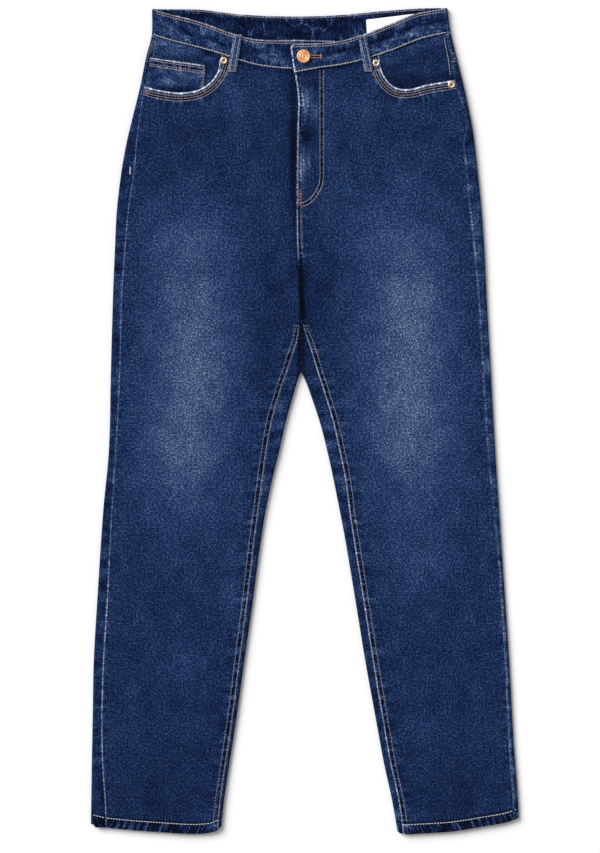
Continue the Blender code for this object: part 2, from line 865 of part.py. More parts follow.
def coin_pocket(leg, depth):
    corner = corners_of(COIN_POCKET)
    up_of = facing_up(depth)
    grid = []
    for share_down in shares(4):
        row = []
        for share in shares(5):
            across, down = (
                mix(
                    mix(corner["top_side"][k], corner["top_inner"][k], share),
                    mix(corner["bottom_side"][k], corner["bottom_inner"][k], share),
                    share_down,
                )
                for k in (0, 1)
            )
            across = max(across, -(leg.side_seam(down) - 2 * GAP))
            row.append((across, down, up_of(across, down) + GAP + CLOTH))
        grid.append(row)
    return grid


def front_loop(row, side, front_up):
    """A loop from the waistband's top edge to just below its seam, standing a little off the band."""
    band_bottom = bands[side][1]
    grid = []
    for share in shares(6):
        across = mix(row["top_across"], row["foot_across"], share)
        down = mix(row["top_down"], row["foot_down"], share)
        seam = band_bottom(across)
        on_band, on_front = band_ups[side](across), front_up(across, down)
        if down > seam:
            rest = max(mix(on_band, on_front, ease((down - seam - 1) / LOOP_STEP_DOWN)), on_front)
        else:
            rest = on_band
        up = rest + GAP + LOOP_CLOTH + LOOP_STAND * math.sin(math.pi * share)
        grid.append([(across + LOOP_WIDE * (aside - 0.5), down, up) for aside in shares(2)])
    return grid


def back_loop(across):
    """A loop under the band, flat on the table."""
    top = bands["back"][0](across)
    foot = bands["back"][1](across) + LOOP_BELOW
    return [
        [(across + LOOP_WIDE * (aside - 0.5), mix(top, foot, share), 0.0) for aside in shares(1)]
        for share in shares(2)
    ]


def zip_grid():
    """A plain zip under the fly, between the left front and the underlap."""
    up = UNDERLAP_UP + GAP + ZIP_CLOTH
    return [
        [(centre_front(down) + ZIP_IN + ZIP_WIDE * share, down, up) for share in shares(2)]
        for down in (mix(ZIP_TOP_DOWN, ZIP_END_DOWN, share) for share in shares(7))
    ]


def label_grid():
    corner = corners_of(LABEL)
    up = SEAT_LIFT + BAND_CLOTH + GAP + LABEL_CLOTH
    return [
        [
            (
                *(mix(mix(corner["top_inner"][k], corner["top_outer"][k], share),
                      mix(corner["bottom_inner"][k], corner["bottom_outer"][k], share),
                      share_down) for k in (0, 1)),
                up,
            )
            for share in shares(3)
        ]
        for share_down in shares(1)
    ]


# ---------------------------------------------------------------- the garment

for old in list(bpy.data.objects):
    bpy.data.objects.remove(old)
jeans = bpy.data.collections.new("mom_jeans")
cutters = bpy.data.collections.new("cutters")
for group in (jeans, cutters):
    bpy.context.scene.collection.children.link(group)

denim = material("denim", DENIM, 0.9)
dark_denim = material("dark_denim", DARK_DENIM, 0.9)
copper = material("copper", COPPER, 0.38, 1.0)
silver = material("nickel_silver", SILVER, 0.35, 1.0)
label_cloth = material("label_cloth", WHITE, 0.8)
zip_tape = material("zip_tape", DARK_DENIM, 0.7)

FACING_DEPTH = {"right": 3.1, "left": 1.8}  # the coin pocket lies between on the right
openings = {"right": OPENING_RIGHT, "left": OPENING_LEFT}
fronts_up = {"right": right_front_up, "left": left_front_up}

for side, leg in LEGS.items():
    on_left = side == "left"
    front_grid = front(leg, openings[side], side, fronts_up[side], underlap=not on_left)
    sheet(f"front_{side}", front_grid, denim, CLOTH, to_left=not on_left, hem_rows=2)
    sheet(f"back_{side}", back(leg), denim, CLOTH, to_left=on_left, hem_rows=2)
    sheet(f"yoke_{side}", yoke(leg, side), denim, CLOTH, to_left=on_left)
    facing_grid = facing(leg, openings[side], side, FACING_DEPTH[side])
    sheet(f"pocket_facing_{side}", facing_grid, dark_denim, CLOTH, to_left=not on_left)
    add(f"back_pocket_{side}", back_pocket(leg), denim, [wall(CLOTH)])

sheet("coin_pocket", coin_pocket(LEGS["right"], FACING_DEPTH["right"]), denim, CLOTH)

waistband = sheet("waistband", waistband_grid(), denim, BAND_CLOTH, to_left=False)
cut = waistband.modifiers.new("Buttonhole", "BOOLEAN")
cut.operation = "DIFFERENCE"
cut.object = keyhole()

for row, side in zip(rows_of(FRONT_LOOPS), ("right", "left")):
    sheet(row["name"], front_loop(row, side, fronts_up[side]), denim, LOOP_CLOTH)
for row in rows_of(BACK_LOOPS):
    sheet(row["name"], back_loop(row["across"]), denim, SEAT_LIFT - GAP, to_left=False)

sheet("zip", zip_grid(), zip_tape, ZIP_CLOTH)
sheet("label", label_grid(), label_cloth, LABEL_CLOTH)

tab_up = LEFT_BAND_UP[1][1]
shank_low = RIGHT_BAND_UP[-1][1] - tab_up
button_profile = (
    (0.0, 2.2), (4.6, 2.3), (5.0, 2.7), (5.9, 2.7), (6.3, 2.3), (7.0, 2.5), (7.9, 2.3),
    (BUTTON_RADIUS, 1.5), (8.3, 0.6), (7.4, 0.0), (SHANK_RADIUS, 0.0), (SHANK_RADIUS, shank_low),
    (0.0, shank_low),
)
turned("button", button_profile, BUTTON_ACROSS, BUTTON_DOWN, tab_up + GAP, copper, steps=28)

rivet_profile = (
    (0.0, 1.9), (1.0, 1.8), (1.5, 1.1), (2.4, 1.2), (3.5, 1.2), (4.1, 0.9), (RIVET_RADIUS, 0.3),
    (RIVET_RADIUS, 0.0), (0.0, 0.0),
)
for row in rows_of(RIVETS):
    side = "left" if row["across"] > 0 else "right"
    finish = silver if row["name"].endswith("inner") else copper
    up = top_up(row["across"], row["down"]) + 0.4
    turned(row["name"], rivet_profile, row["across"], row["down"], up, finish, steps=16)
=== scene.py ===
import bisect
import math

import bmesh
import bpy
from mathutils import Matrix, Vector, noise
from mathutils.bvhtree import BVHTree


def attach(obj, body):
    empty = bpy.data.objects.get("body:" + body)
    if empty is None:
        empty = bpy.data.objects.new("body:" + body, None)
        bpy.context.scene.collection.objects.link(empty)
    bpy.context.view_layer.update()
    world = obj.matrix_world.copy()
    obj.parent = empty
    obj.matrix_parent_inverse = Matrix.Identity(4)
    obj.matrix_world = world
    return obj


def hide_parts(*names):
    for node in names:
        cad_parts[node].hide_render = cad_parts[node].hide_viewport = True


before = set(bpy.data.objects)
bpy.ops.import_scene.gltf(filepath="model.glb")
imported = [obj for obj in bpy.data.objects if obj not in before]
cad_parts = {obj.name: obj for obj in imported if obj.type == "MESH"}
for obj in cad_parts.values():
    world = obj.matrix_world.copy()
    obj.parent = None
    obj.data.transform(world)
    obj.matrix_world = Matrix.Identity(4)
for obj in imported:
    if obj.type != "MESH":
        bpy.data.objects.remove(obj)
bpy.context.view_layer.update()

# ------------------------------------------------------------------ the leg backs
# Each back panel of denim goes from the side seam round the outer fold, under the leg, and up round the
# inner fold to the inseam. It is laid flat on the floor, and its weight presses the folds round.
# Places are in millimetres: across from the middle to the wearer's left, down from the waist, and up.

MM = 0.001
MIDDLE_ACROSS, MIDDLE_DOWN = -0.24, 516.06
CLOTH, HEM_CLOTH, HEM_DEEP, GAP = 1.2, 2.4, 13.0, 0.3
CENTRE_BACK, CROTCH_DOWN, APEX_DOWN = -5.0, 394.0, 455.0
SEAT_LIFT, SEAT_ROW, HEM_BEND, HEM_ROW = 1.5, 200.0, 860.0, 1031.0
THICK_ROWS = 7  # how many rows of the mesh are as thick as the turned-up hem
YOKE_SIDE_DOWN = 62.0
CELL = 2.8  # the size of the mesh's cells

SIDE_RIGHT = (
    ("down", "outer", "side_in"),
    (0, 191.0, 3.9), (35, 191.5, 3.9), (62, 198.5, 3.9), (95, 205.0, 3.9), (128, 213.0, 7.0),
    (165, 222.0, 11.0), (203, 229.0, 15.0), (253, 235.0, 14.0), (303, 237.5, 12.0), (365, 240.0, 10.2),
    (455, 242.5, 10.5), (553, 245.0, 8.2), (628, 252.0, 10.3), (740, 259.5, 12.0), (815, 263.8, 11.6),
    (890, 265.3, 11.0), (943, 266.3, 13.0), (990, 267.0, 17.0), (1032, 267.5, 19.0),
)
SIDE_LEFT = (
    ("down", "outer", "side_in"),
    (0, 177.5, 5.0), (32, 182.0, 5.0), (65, 190.0, 6.5), (85, 195.0, 9.0), (108, 200.5, 8.3),
    (132, 205.5, 5.6), (150, 209.0, 7.5), (168, 211.5, 13.5), (203, 215.5, 14.2), (253, 220.5, 14.8),
    (303, 224.0, 13.0), (365, 227.0, 10.3), (455, 232.0, 10.0), (553, 237.5, 9.3), (628, 242.5, 7.0),
    (703, 247.5, 4.4), (815, 255.0, 4.2), (915, 260.5, 5.0), (990, 266.0, 5.5), (1032, 267.5, 6.6),
)
INNER_RIGHT = (
    ("down", "inner", "inseam_in"),
    (455, 5.15, 16.5), (465, 9.0, 16.6), (490, 16.3, 17.0), (515, 23.3, 17.0), (553, 32.0, 15.2),
    (590, 41.0, 11.3), (628, 49.0, 8.3), (665, 55.0, 7.4), (740, 65.0, 6.0), (815, 75.5, 5.0),
    (890, 86.0, 4.0), (990, 101.0, 3.8), (1032, 105.0, 3.8),
)
INNER_LEFT = (
    ("down", "inner", "inseam_in"),
    (455, -4.85, 19.9), (465, 0.0, 18.6), (478, 5.0, 17.6), (515, 17.6, 16.3), (553, 27.5, 15.0),
    (590, 35.6, 14.3), (628, 43.2, 11.6), (665, 50.2, 10.2), (740, 62.8, 9.6), (815, 75.0, 9.2),
    (890, 88.6, 8.0), (943, 98.4, 7.6), (990, 108.6, 7.8), (1032, 116.0, 6.2),
)
CROTCH = (
    ("down", "right_across", "left_across"),
    (394, -6.3, -3.7), (404, -6.9, -1.3), (418, -9.4, 3.6), (434, -15.0, 8.8), (455, -21.7, 15.0),
)
CENTRE_FRONT = (
    ("down", "across"),
    (76, -13.4), (92, -11.6), (116, -8.6), (155, -9.8), (203, -10.5), (260, -10.8), (300, -10.0),
    (328, -8.2), (365, -6.6), (394, -5.4),
)
HEM = (
    ("share", "right_down", "left_down"),
    (0.00, 1019.0, 1011.0), (0.10, 1023.0, 1017.0), (0.30, 1026.5, 1022.5), (0.55, 1029.5, 1028.5),
    (0.80, 1031.5, 1031.0), (0.95, 1028.5, 1031.6), (1.00, 1022.0, 1028.0),
)
LAID_HEIGHT = (
    ("down", "up"),
    (0, 7.4), (60, 7.6), (125, 7.5), (200, 6.7), (330, 6.1), (480, 5.7), (900, 5.6), (1015, 6.1), (1032, 6.2),
)
YOKE_SEAM = (("across", "down"), (-200, 62.0), (-110, 82.0), (-5, 106.0), (100, 82.0), (190, 62.0))
# Soft folds and creases: where each is, its length and width, its turn in degrees from straight across,
# and how far it stands up, or sinks where that is negative.
CREASES = (
    ("across", "down", "length", "width", "turn", "rise"),
    (-150, 330, 120, 34, -62, 0.55), (-90, 400, 95, 30, -38, -0.40), (-60, 340, 80, 26, -30, 0.35),
    (55, 345, 85, 28, 34, 0.45), (95, 420, 100, 30, 42, -0.40), (150, 360, 130, 36, 70, 0.50),
    (-175, 620, 110, 30, 20, -0.45), (-165, 680, 95, 28, 10, 0.50), (165, 640, 105, 30, -16, 0.45),
    (150, 705, 100, 28, -8, -0.45), (-185, 880, 120, 32, 78, 0.40), (195, 900, 120, 32, -80, 0.40),
    (-3, 352, 38, 5, 89, -1.60), (-24, 330, 70, 13, -74, 0.60), (18, 330, 70, 13, 74, 0.60),
    (-48, 372, 60, 9, -38, -0.55), (-62, 396, 70, 9, -33, 0.50), (40, 380, 55, 9, 36, -0.55),
    (56, 404, 66, 9, 33, 0.50), (-78, 442, 60, 10, -48, -0.45), (72, 452, 60, 10, 46, -0.45),
    (-198, 215, 46, 9, -70, -0.50), (190, 208, 42, 9, 74, -0.50), (-214, 292, 55, 10, -84, 0.45),
    (206, 300, 55, 10, 86, 0.45), (-120, 560, 80, 12, 22, -0.40), (-200, 575, 60, 10, -18, 0.40),
    (120, 588, 80, 12, -24, -0.40), (205, 560, 60, 10, 20, 0.40), (-220, 742, 50, 9, 24, -0.45),
    (-120, 760, 60, 10, -20, 0.40), (218, 770, 50, 9, -26, -0.45), (120, 800, 60, 10, 18, 0.40),
    (-150, 955, 70, 11, 14, -0.40), (165, 965, 70, 11, -12, -0.40), (-225, 985, 40, 9, 66, 0.40),
    (-130, 150, 60, 12, 12, 0.35), (120, 150, 60, 12, -14, 0.35), (-60, 190, 70, 14, 60, -0.30),
    (60, 220, 70, 14, -66, -0.30),
)
# Where the wash has faded the cloth, or left it dark, and a painted shade strip: how long and wide each patch
# is, and how much.
FADES_AND_SHADE = (
    ("across", "down", "length", "width", "turn", "pale"),
    (-140, 440, 62, 150, 0, 0.185), (128, 405, 62, 160, 0, 0.190), (-136, 420, 30, 90, 0, 0.050),
    (130, 380, 30, 90, 0, 0.050), (-165, 590, 60, 90, 0, 0.060), (150, 590, 60, 110, 0, 0.060),
    (-48, 410, 26, 90, 8, -0.060), (16, 350, 18, 70, 0, -0.060), (-150, 285, 60, 60, 0, 0.085),
    (-158, 550, 45, 55, 0, 0.065), (-146, 812, 30, 26, 0, 0.080), (-90, 728, 18, 60, 0, 0.070),
    (122, 530, 50, 60, 0, 0.090), (134, 688, 50, 40, 0, 0.065), (66, 275, 50, 50, 0, 0.045),
    (-150, 205, 50, 60, 0, -0.030), (-112, 796, 44, 60, 0, -0.030), (-144, 928, 50, 50, 0, -0.025),
    # The dark strip at (-14.5, 175) is painted shade on the right front, beside the edge of the fly that
    # stands over it.
    (-14.5, 175, 4.2, 90, 0, -0.270), (-90, 108, 30, 22, 0, 0.060), (30, 165, 7, 60, 0, 0.060),
    (60, 120, 34, 20, 0, 0.040), (-185, 990, 60, 34, 0, -0.060), (185, 985, 60, 34, 0, -0.060),
)


def curve(table, along, value):
    """A smooth function of one named column of a table, read along another."""
    names, *rows = table
    ats = [row[names.index(along)] for row in rows]
    values = [row[names.index(value)] for row in rows]
    last = len(rows) - 1
    slopes = [
        (values[min(k + 1, last)] - values[max(k - 1, 0)]) / (ats[min(k + 1, last)] - ats[max(k - 1, 0)])
        for k in range(len(rows))
    ]

    def read(at):
        k = min(max(bisect.bisect_right(ats, at) - 1, 0), last - 1)
        step = ats[k + 1] - ats[k]
        t = min(max((at - ats[k]) / step, 0.0), 1.0)
        return (
            (1 + 2 * t) * (1 - t) ** 2 * values[k]
            + t * (1 - t) ** 2 * step * slopes[k]
            + t * t * (3 - 2 * t) * values[k + 1]
            + t * t * (t - 1) * step * slopes[k + 1]
        )

    return read


def ease(t):
    t = min(max(t, 0.0), 1.0)
    return t * t * (3 - 2 * t)


def mix(a, b, share):
    return a + (b - a) * share


def shares(count):
    return [k / count for k in range(count + 1)]


def steps(start, end, size=CELL):
    return [mix(start, end, share) for share in shares(max(1, round(abs(end - start) / size)))]


def rows_of(table):
    names, *rows = table
    return [dict(zip(names, row)) for row in rows]


def place(across, down, up):
    return Vector((across - MIDDLE_ACROSS, MIDDLE_DOWN - down, up)) * MM


class Leg:
    """One side of the garment, with distances from the middle that are positive outwards."""

    def __init__(self, way, side, inner, hem, inseam):
        self.way = way
        self.outer, self.side_in = curve(side, "down", "outer"), curve(side, "down", "side_in")
        self.inner, self.inseam_in = curve(inner, "down", "inner"), curve(inner, "down", "inseam_in")
        self.hem, self.crotch = curve(HEM, "share", hem), curve(CROTCH, "down", inseam)

    def side_seam(self, down):
        return self.outer(down) - self.side_in(down)

    def inseam(self, down):
        if down >= APEX_DOWN:
            return self.inner(down) + self.inseam_in(down)
        return self.way * (self.crotch if down >= CROTCH_DOWN else centre_front)(down)

    def hem_at(self, out):
        lowest = HEM[-1][1]
        share = (self.outer(lowest) - out) / (self.outer(lowest) - self.inner(lowest))
        return self.hem(min(max(share, 0.0), 1.0))

    def row_down(self, row, out):
        """How far down a row lies, which bends with the hem towards its foot."""
        bend = ease((row - HEM_BEND) / (HEM_ROW - HEM_DEEP - HEM_BEND))
        return row + (self.hem_at(out) - HEM_ROW) * bend


centre_front = curve(CENTRE_FRONT, "down", "across")
laid_height = curve(LAID_HEIGHT, "down", "up")
yoke_seam = curve(YOKE_SEAM, "across", "down")
LEGS = {
    "left": Leg(1, SIDE_LEFT, INNER_LEFT, "left_down", "left_across"),
    "right": Leg(-1, SIDE_RIGHT, INNER_RIGHT, "right_down", "right_across"),
}


def spread(table, value):
    """The sum of a table's soft patches at a place, each an uneven long mound."""
    rows = [
        (r["across"], r["down"], r["length"], r["width"], math.cos(math.radians(r["turn"])),
         math.sin(math.radians(r["turn"])), r[value])
        for r in rows_of(table)
    ]

    def read(across, down):
        total = 0.0
        for at, below, length, width, cos, sin, size in rows:
            x, y = across - at, down - below
            along, beside = (x * cos + y * sin) / length, (y * cos - x * sin) / width
            away = along * along + beside * beside
            if away < 9:
                total += size * math.exp(-away)
        return total

    return read


creases, faded = spread(CREASES, "rise"), spread(FADES_AND_SHADE, "pale")


def crumple(across, down, seed=0.0):
    """The uneven lie of the cloth: broad soft waves, with small ones on them."""
    broad = noise.noise(Vector((across / 46, down / 70, seed)))
    small = noise.noise(Vector((across / 15, down / 21, seed + 7)))
    return 0.42 * broad + 0.16 * small


def top_up(across, down):
    return laid_height(down) + creases(across, down) + crumple(across, down)


def under_up(leg, out, down):
    """The underside lies on the floor, and the seat on its patch pockets and loops."""
    beside = min(max((0.94 - out / leg.outer(down)) / 0.16, 0.0), 1.0)
    above = min(max((360 - down) / 45, 0.0), 1.0)
    loose = max(0.0, 0.5 * creases(leg.way * -out, down) + 1.3 * crumple(leg.way * out, down, 30) + 0.15)
    return SEAT_LIFT * beside * above + min(loose, 0.9)


def half_round(reach, low, high, count):
    middle, rise = (low + high) / 2, (high - low) / 2
    turns = [math.radians(mix(90, -90, share)) for share in shares(count)]
    return [(reach - reach * math.cos(turn), middle + rise * math.sin(turn)) for turn in turns]


def side_points(leg, row, down_at):
    """From the side seam on top, round the outer fold to the underside."""
    count, strip = 8, 5
    down = down_at(leg.side_seam(row), 1.0)
    outer = leg.outer(down)
    reach = min(top_up(leg.way * outer, down) / 2, leg.side_in(down) - GAP)
    seam = leg.side_seam(down) + GAP / 2
    high = top_up(leg.way * (outer - reach), down)
    points = []
    for share in shares(strip)[:-1]:
        out = mix(seam, outer - reach, share)
        points.append((out, down, top_up(leg.way * out, down)))
    for k, (short, up) in enumerate(half_round(reach, 0.0, high, count)):
        at = down_at(outer - short, 1 - k / count)
        points.append((leg.outer(at) - short, at, up))
    return points


def under_points(leg, row, inner, down_at):
    points = []
    for share in steps(0.965, 0.035, 5.5 / 235):
        out = mix(inner, leg.outer(row), share)
        down = down_at(out, 0.0)
        points.append((out, down, under_up(leg, out, down)))
    return points


def rows_down(*levels):
    """The rows of a leg's mesh, in even steps from level to level, and through the turned-up hem."""
    hem = HEM_ROW - HEM_DEEP
    rows = [row for a, b in zip(levels, (*levels[1:], hem)) for row in steps(a, b)[:-1]]
    return rows + [hem, hem + 0.9, *steps(hem + 3, HEM_ROW, 2.2)]


def back(leg):
    seat = leg.way * CENTRE_BACK + GAP / 2
    round_steps, strip = 7, shares(6)
    grid = []
    for row in rows_down(YOKE_SIDE_DOWN, SEAT_ROW, CROTCH_DOWN, APEX_DOWN):

        def down_at(out, front_share):
            if row >= SEAT_ROW:
                return leg.row_down(row, out)
            top = mix(yoke_seam(leg.way * out), YOKE_SIDE_DOWN, front_share) + GAP / 2
            return mix(top, SEAT_ROW, (row - YOKE_SIDE_DOWN) / (SEAT_ROW - YOKE_SIDE_DOWN))

        points = side_points(leg, row, down_at)
        if row <= APEX_DOWN:
            inner, high = seat, top_up(leg.way * seat, APEX_DOWN)
            reach = high / 2
        else:
            level = down_at(leg.inner(row), 0.0)
            inner = leg.inner(level)
            high = top_up(leg.way * inner, level)
            reach = min(high / 2, leg.inseam_in(level) - GAP)
        points += under_points(leg, row, inner, down_at)
        if row < APEX_DOWN:
            points.append((seat, down_at(seat, 0.0), under_up(leg, seat, down_at(seat, 0.0))))
            points += [None] * (round_steps - 1)
            for share in strip:
                out = mix(seat, leg.way * leg.crotch(row) - GAP / 2, share)
                points.append((out, row, top_up(leg.way * out, row)) if row >= CROTCH_DOWN else None)
        else:
            for short, up in reversed(half_round(reach, 0.0, high, round_steps)):
                if row == APEX_DOWN:  # here the fold faces down the garment
                    points.append((seat, APEX_DOWN - short, up))
                else:
                    points.append((inner + short, down_at(inner + short, 0.0), up))
            start_out, start_down, _ = points[-1]
            seam_down = down_at(leg.inseam(row), 0.0)
            for share in strip[1:]:
                out = mix(start_out, leg.inseam(seam_down) - GAP / 2, share)
                down = mix(start_down, seam_down, share)
                points.append((out, down, top_up(leg.way * out, down)))
        grid.append(points)
    return [[p and (leg.way * p[0], p[1], p[2]) for p in row] for row in grid]


# A felled seam's middle and half width beyond the sewn edge, and how strongly it shows.
UNSEWN, FELLED, POCKET_HEM, BAND_HEM = (0.0, 0.0, 0.0), (4.1, 2.5, 1.0), (7.6, 3.5, 0.9), (2.8, 1.6, 0.7)


def runs(line):
    """The unbroken runs of places in a row or column of a grid, as lists of indices."""
    found, run = [], []
    for k, point in enumerate([*line, None]):
        if point:
            run.append(k)
        elif run:
            found.append(run)
            run = []
    return found


def travel(line, run):
    """How far each place of a run is from its start, over the cloth."""
    far = [0.0]
    for a, b in zip(run, run[1:]):
        far.append(far[-1] + math.dist(line[a], line[b]))
    return far


def cloth(name, grid, thickness, finish, outside_up=True, hem_rows=0, sewing=None, fade=None, line=None):
    """A cut piece of cloth from a grid of its outer face. Each point carries how far over the cloth it is
    from the nearest sewn edge, how that edge is worn and sewn, and how faded the cloth is, with painted
    shade in places. sewing gives an edge's wear, and the middle, half width and strength of the felled
    seam beside it. line gives the same, and the distances along and away, for a place near a line that
    isn't an edge of the grid."""
    count, width = len(grid), max(len(row) for row in grid)
    grid = [row + [None] * (width - len(row)) for row in grid]
    uv, edge, above_hem = {}, {}, {}
    for i, row in enumerate(grid):
        for run in runs(row):
            far = travel(row, run)
            for k, j in enumerate(run):
                uv[i, j] = far[k]
                edge[i, j] = min((far[k], "start"), (far[-1] - far[k], "end"))
    for j in range(width):
        column = [row[j] for row in grid]
        for run in runs(column):
            far = travel(column, run)
            for k, i in enumerate(run):
                nearest = min((far[k], "top"), (far[-1] - far[k], "bottom"))
                edge[i, j] = min(edge[i, j], nearest)
                above_hem[i, j] = far[-1] - far[k] if hem_rows else 99.0
    bm = bmesh.new()
    weights = bm.verts.layers.deform.verify()
    seam = bm.verts.layers.float_vector.new("seam")
    felled = bm.verts.layers.float_vector.new("felled")
    fading_and_shade, hem = bm.verts.layers.float.new("fade"), bm.verts.layers.float.new("above_hem")
    flat = bm.loops.layers.uv.new("flat")
    verts, at = {}, {}
    for i, row in enumerate(grid):
        for j, point in enumerate(row):
            if not point:
                continue
            vert = verts[i, j] = bm.verts.new(place(*point))
            away, which = edge[i, j]
            along = point[1] if which in ("start", "end") else point[0]
            worn, *fell = sewing(which, point[0], point[1]) if sewing else (0.0, *UNSEWN)
            sewn_line = line and line(point[0], point[1])
            if sewn_line:
                along, away, worn, *fell = sewn_line
            vert[seam], vert[felled] = (along, away, worn), fell
            vert[fading_and_shade], vert[hem] = (fade or faded)(point[0], point[1]), above_hem[i, j]
            at[vert] = (uv[i, j] * MM, -point[1] * MM)
    for i in range(count - 1):
        for j in range(width - 1):
            corners = [verts.get(key) for key in ((i, j), (i + 1, j), (i + 1, j + 1), (i, j + 1))]
            if all(corners):
                face = bm.faces.new(corners if outside_up else reversed(corners))
                face.smooth = True
                for loop in face.loops:
                    loop[flat].uv = at[loop.vert]
    for (i, j), vert in verts.items():
        if i >= count - hem_rows:
            vert[weights][0] = 1.0
    mesh = bpy.data.meshes.new(name)
    bm.to_mesh(mesh)
    bm.free()
    mesh.materials.append(finish)
    piece = bpy.data.objects.new(name, mesh)
    bpy.context.scene.collection.objects.link(piece)
    solid = piece.modifiers.new("Solidify", "SOLIDIFY")
    solid.thickness, solid.offset = thickness * MM, -1
    if hem_rows:
        piece.vertex_groups.new(name="hem")
        solid.vertex_group, solid.thickness = "hem", HEM_CLOTH * MM
        solid.thickness_vertex_group = thickness / HEM_CLOTH
    bpy.ops.object.select_all(action="DESELECT")
    bpy.context.view_layer.objects.active = piece
    bpy.ops.object.modifier_apply(modifier="Solidify")
    return piece


def colour(hexed):
    """An sRGB hex colour as the linear colour that Blender's sockets take."""
    parts = [int(hexed[k:k + 2], 16) / 255 for k in (1, 3, 5)]
    return (*(c / 12.92 if c <= 0.04045 else ((c + 0.055) / 1.055) ** 2.4 for c in parts), 1.0)


def new_material(name, **sockets):
    made = bpy.data.materials.new(name)
    made.use_nodes = True
    shader = made.node_tree.nodes["Principled BSDF"]
    for key, value in sockets.items():
        shader.inputs[key.replace("_", " ")].default_value = value
    return made, shader


def node(tree, kind, *sources, out=0, **settings):
    """Adds a shader node and gives one of its outputs. Settings go to its properties, or else to its
    inputs of their names, and sources to its inputs in order: a socket is linked, and a value is set."""
    made = tree.nodes.new(f"ShaderNode{kind}")
    for key, value in (*settings.items(), *enumerate(sources)):
        if isinstance(key, str) and hasattr(made, key):
            setattr(made, key, value)
            continue
        taken = made.inputs[key.replace("_", " ") if isinstance(key, str) else key]
        if isinstance(value, bpy.types.NodeSocket):
            tree.links.new(value, taken)
        else:
            taken.default_value = value
    return made.outputs[out]


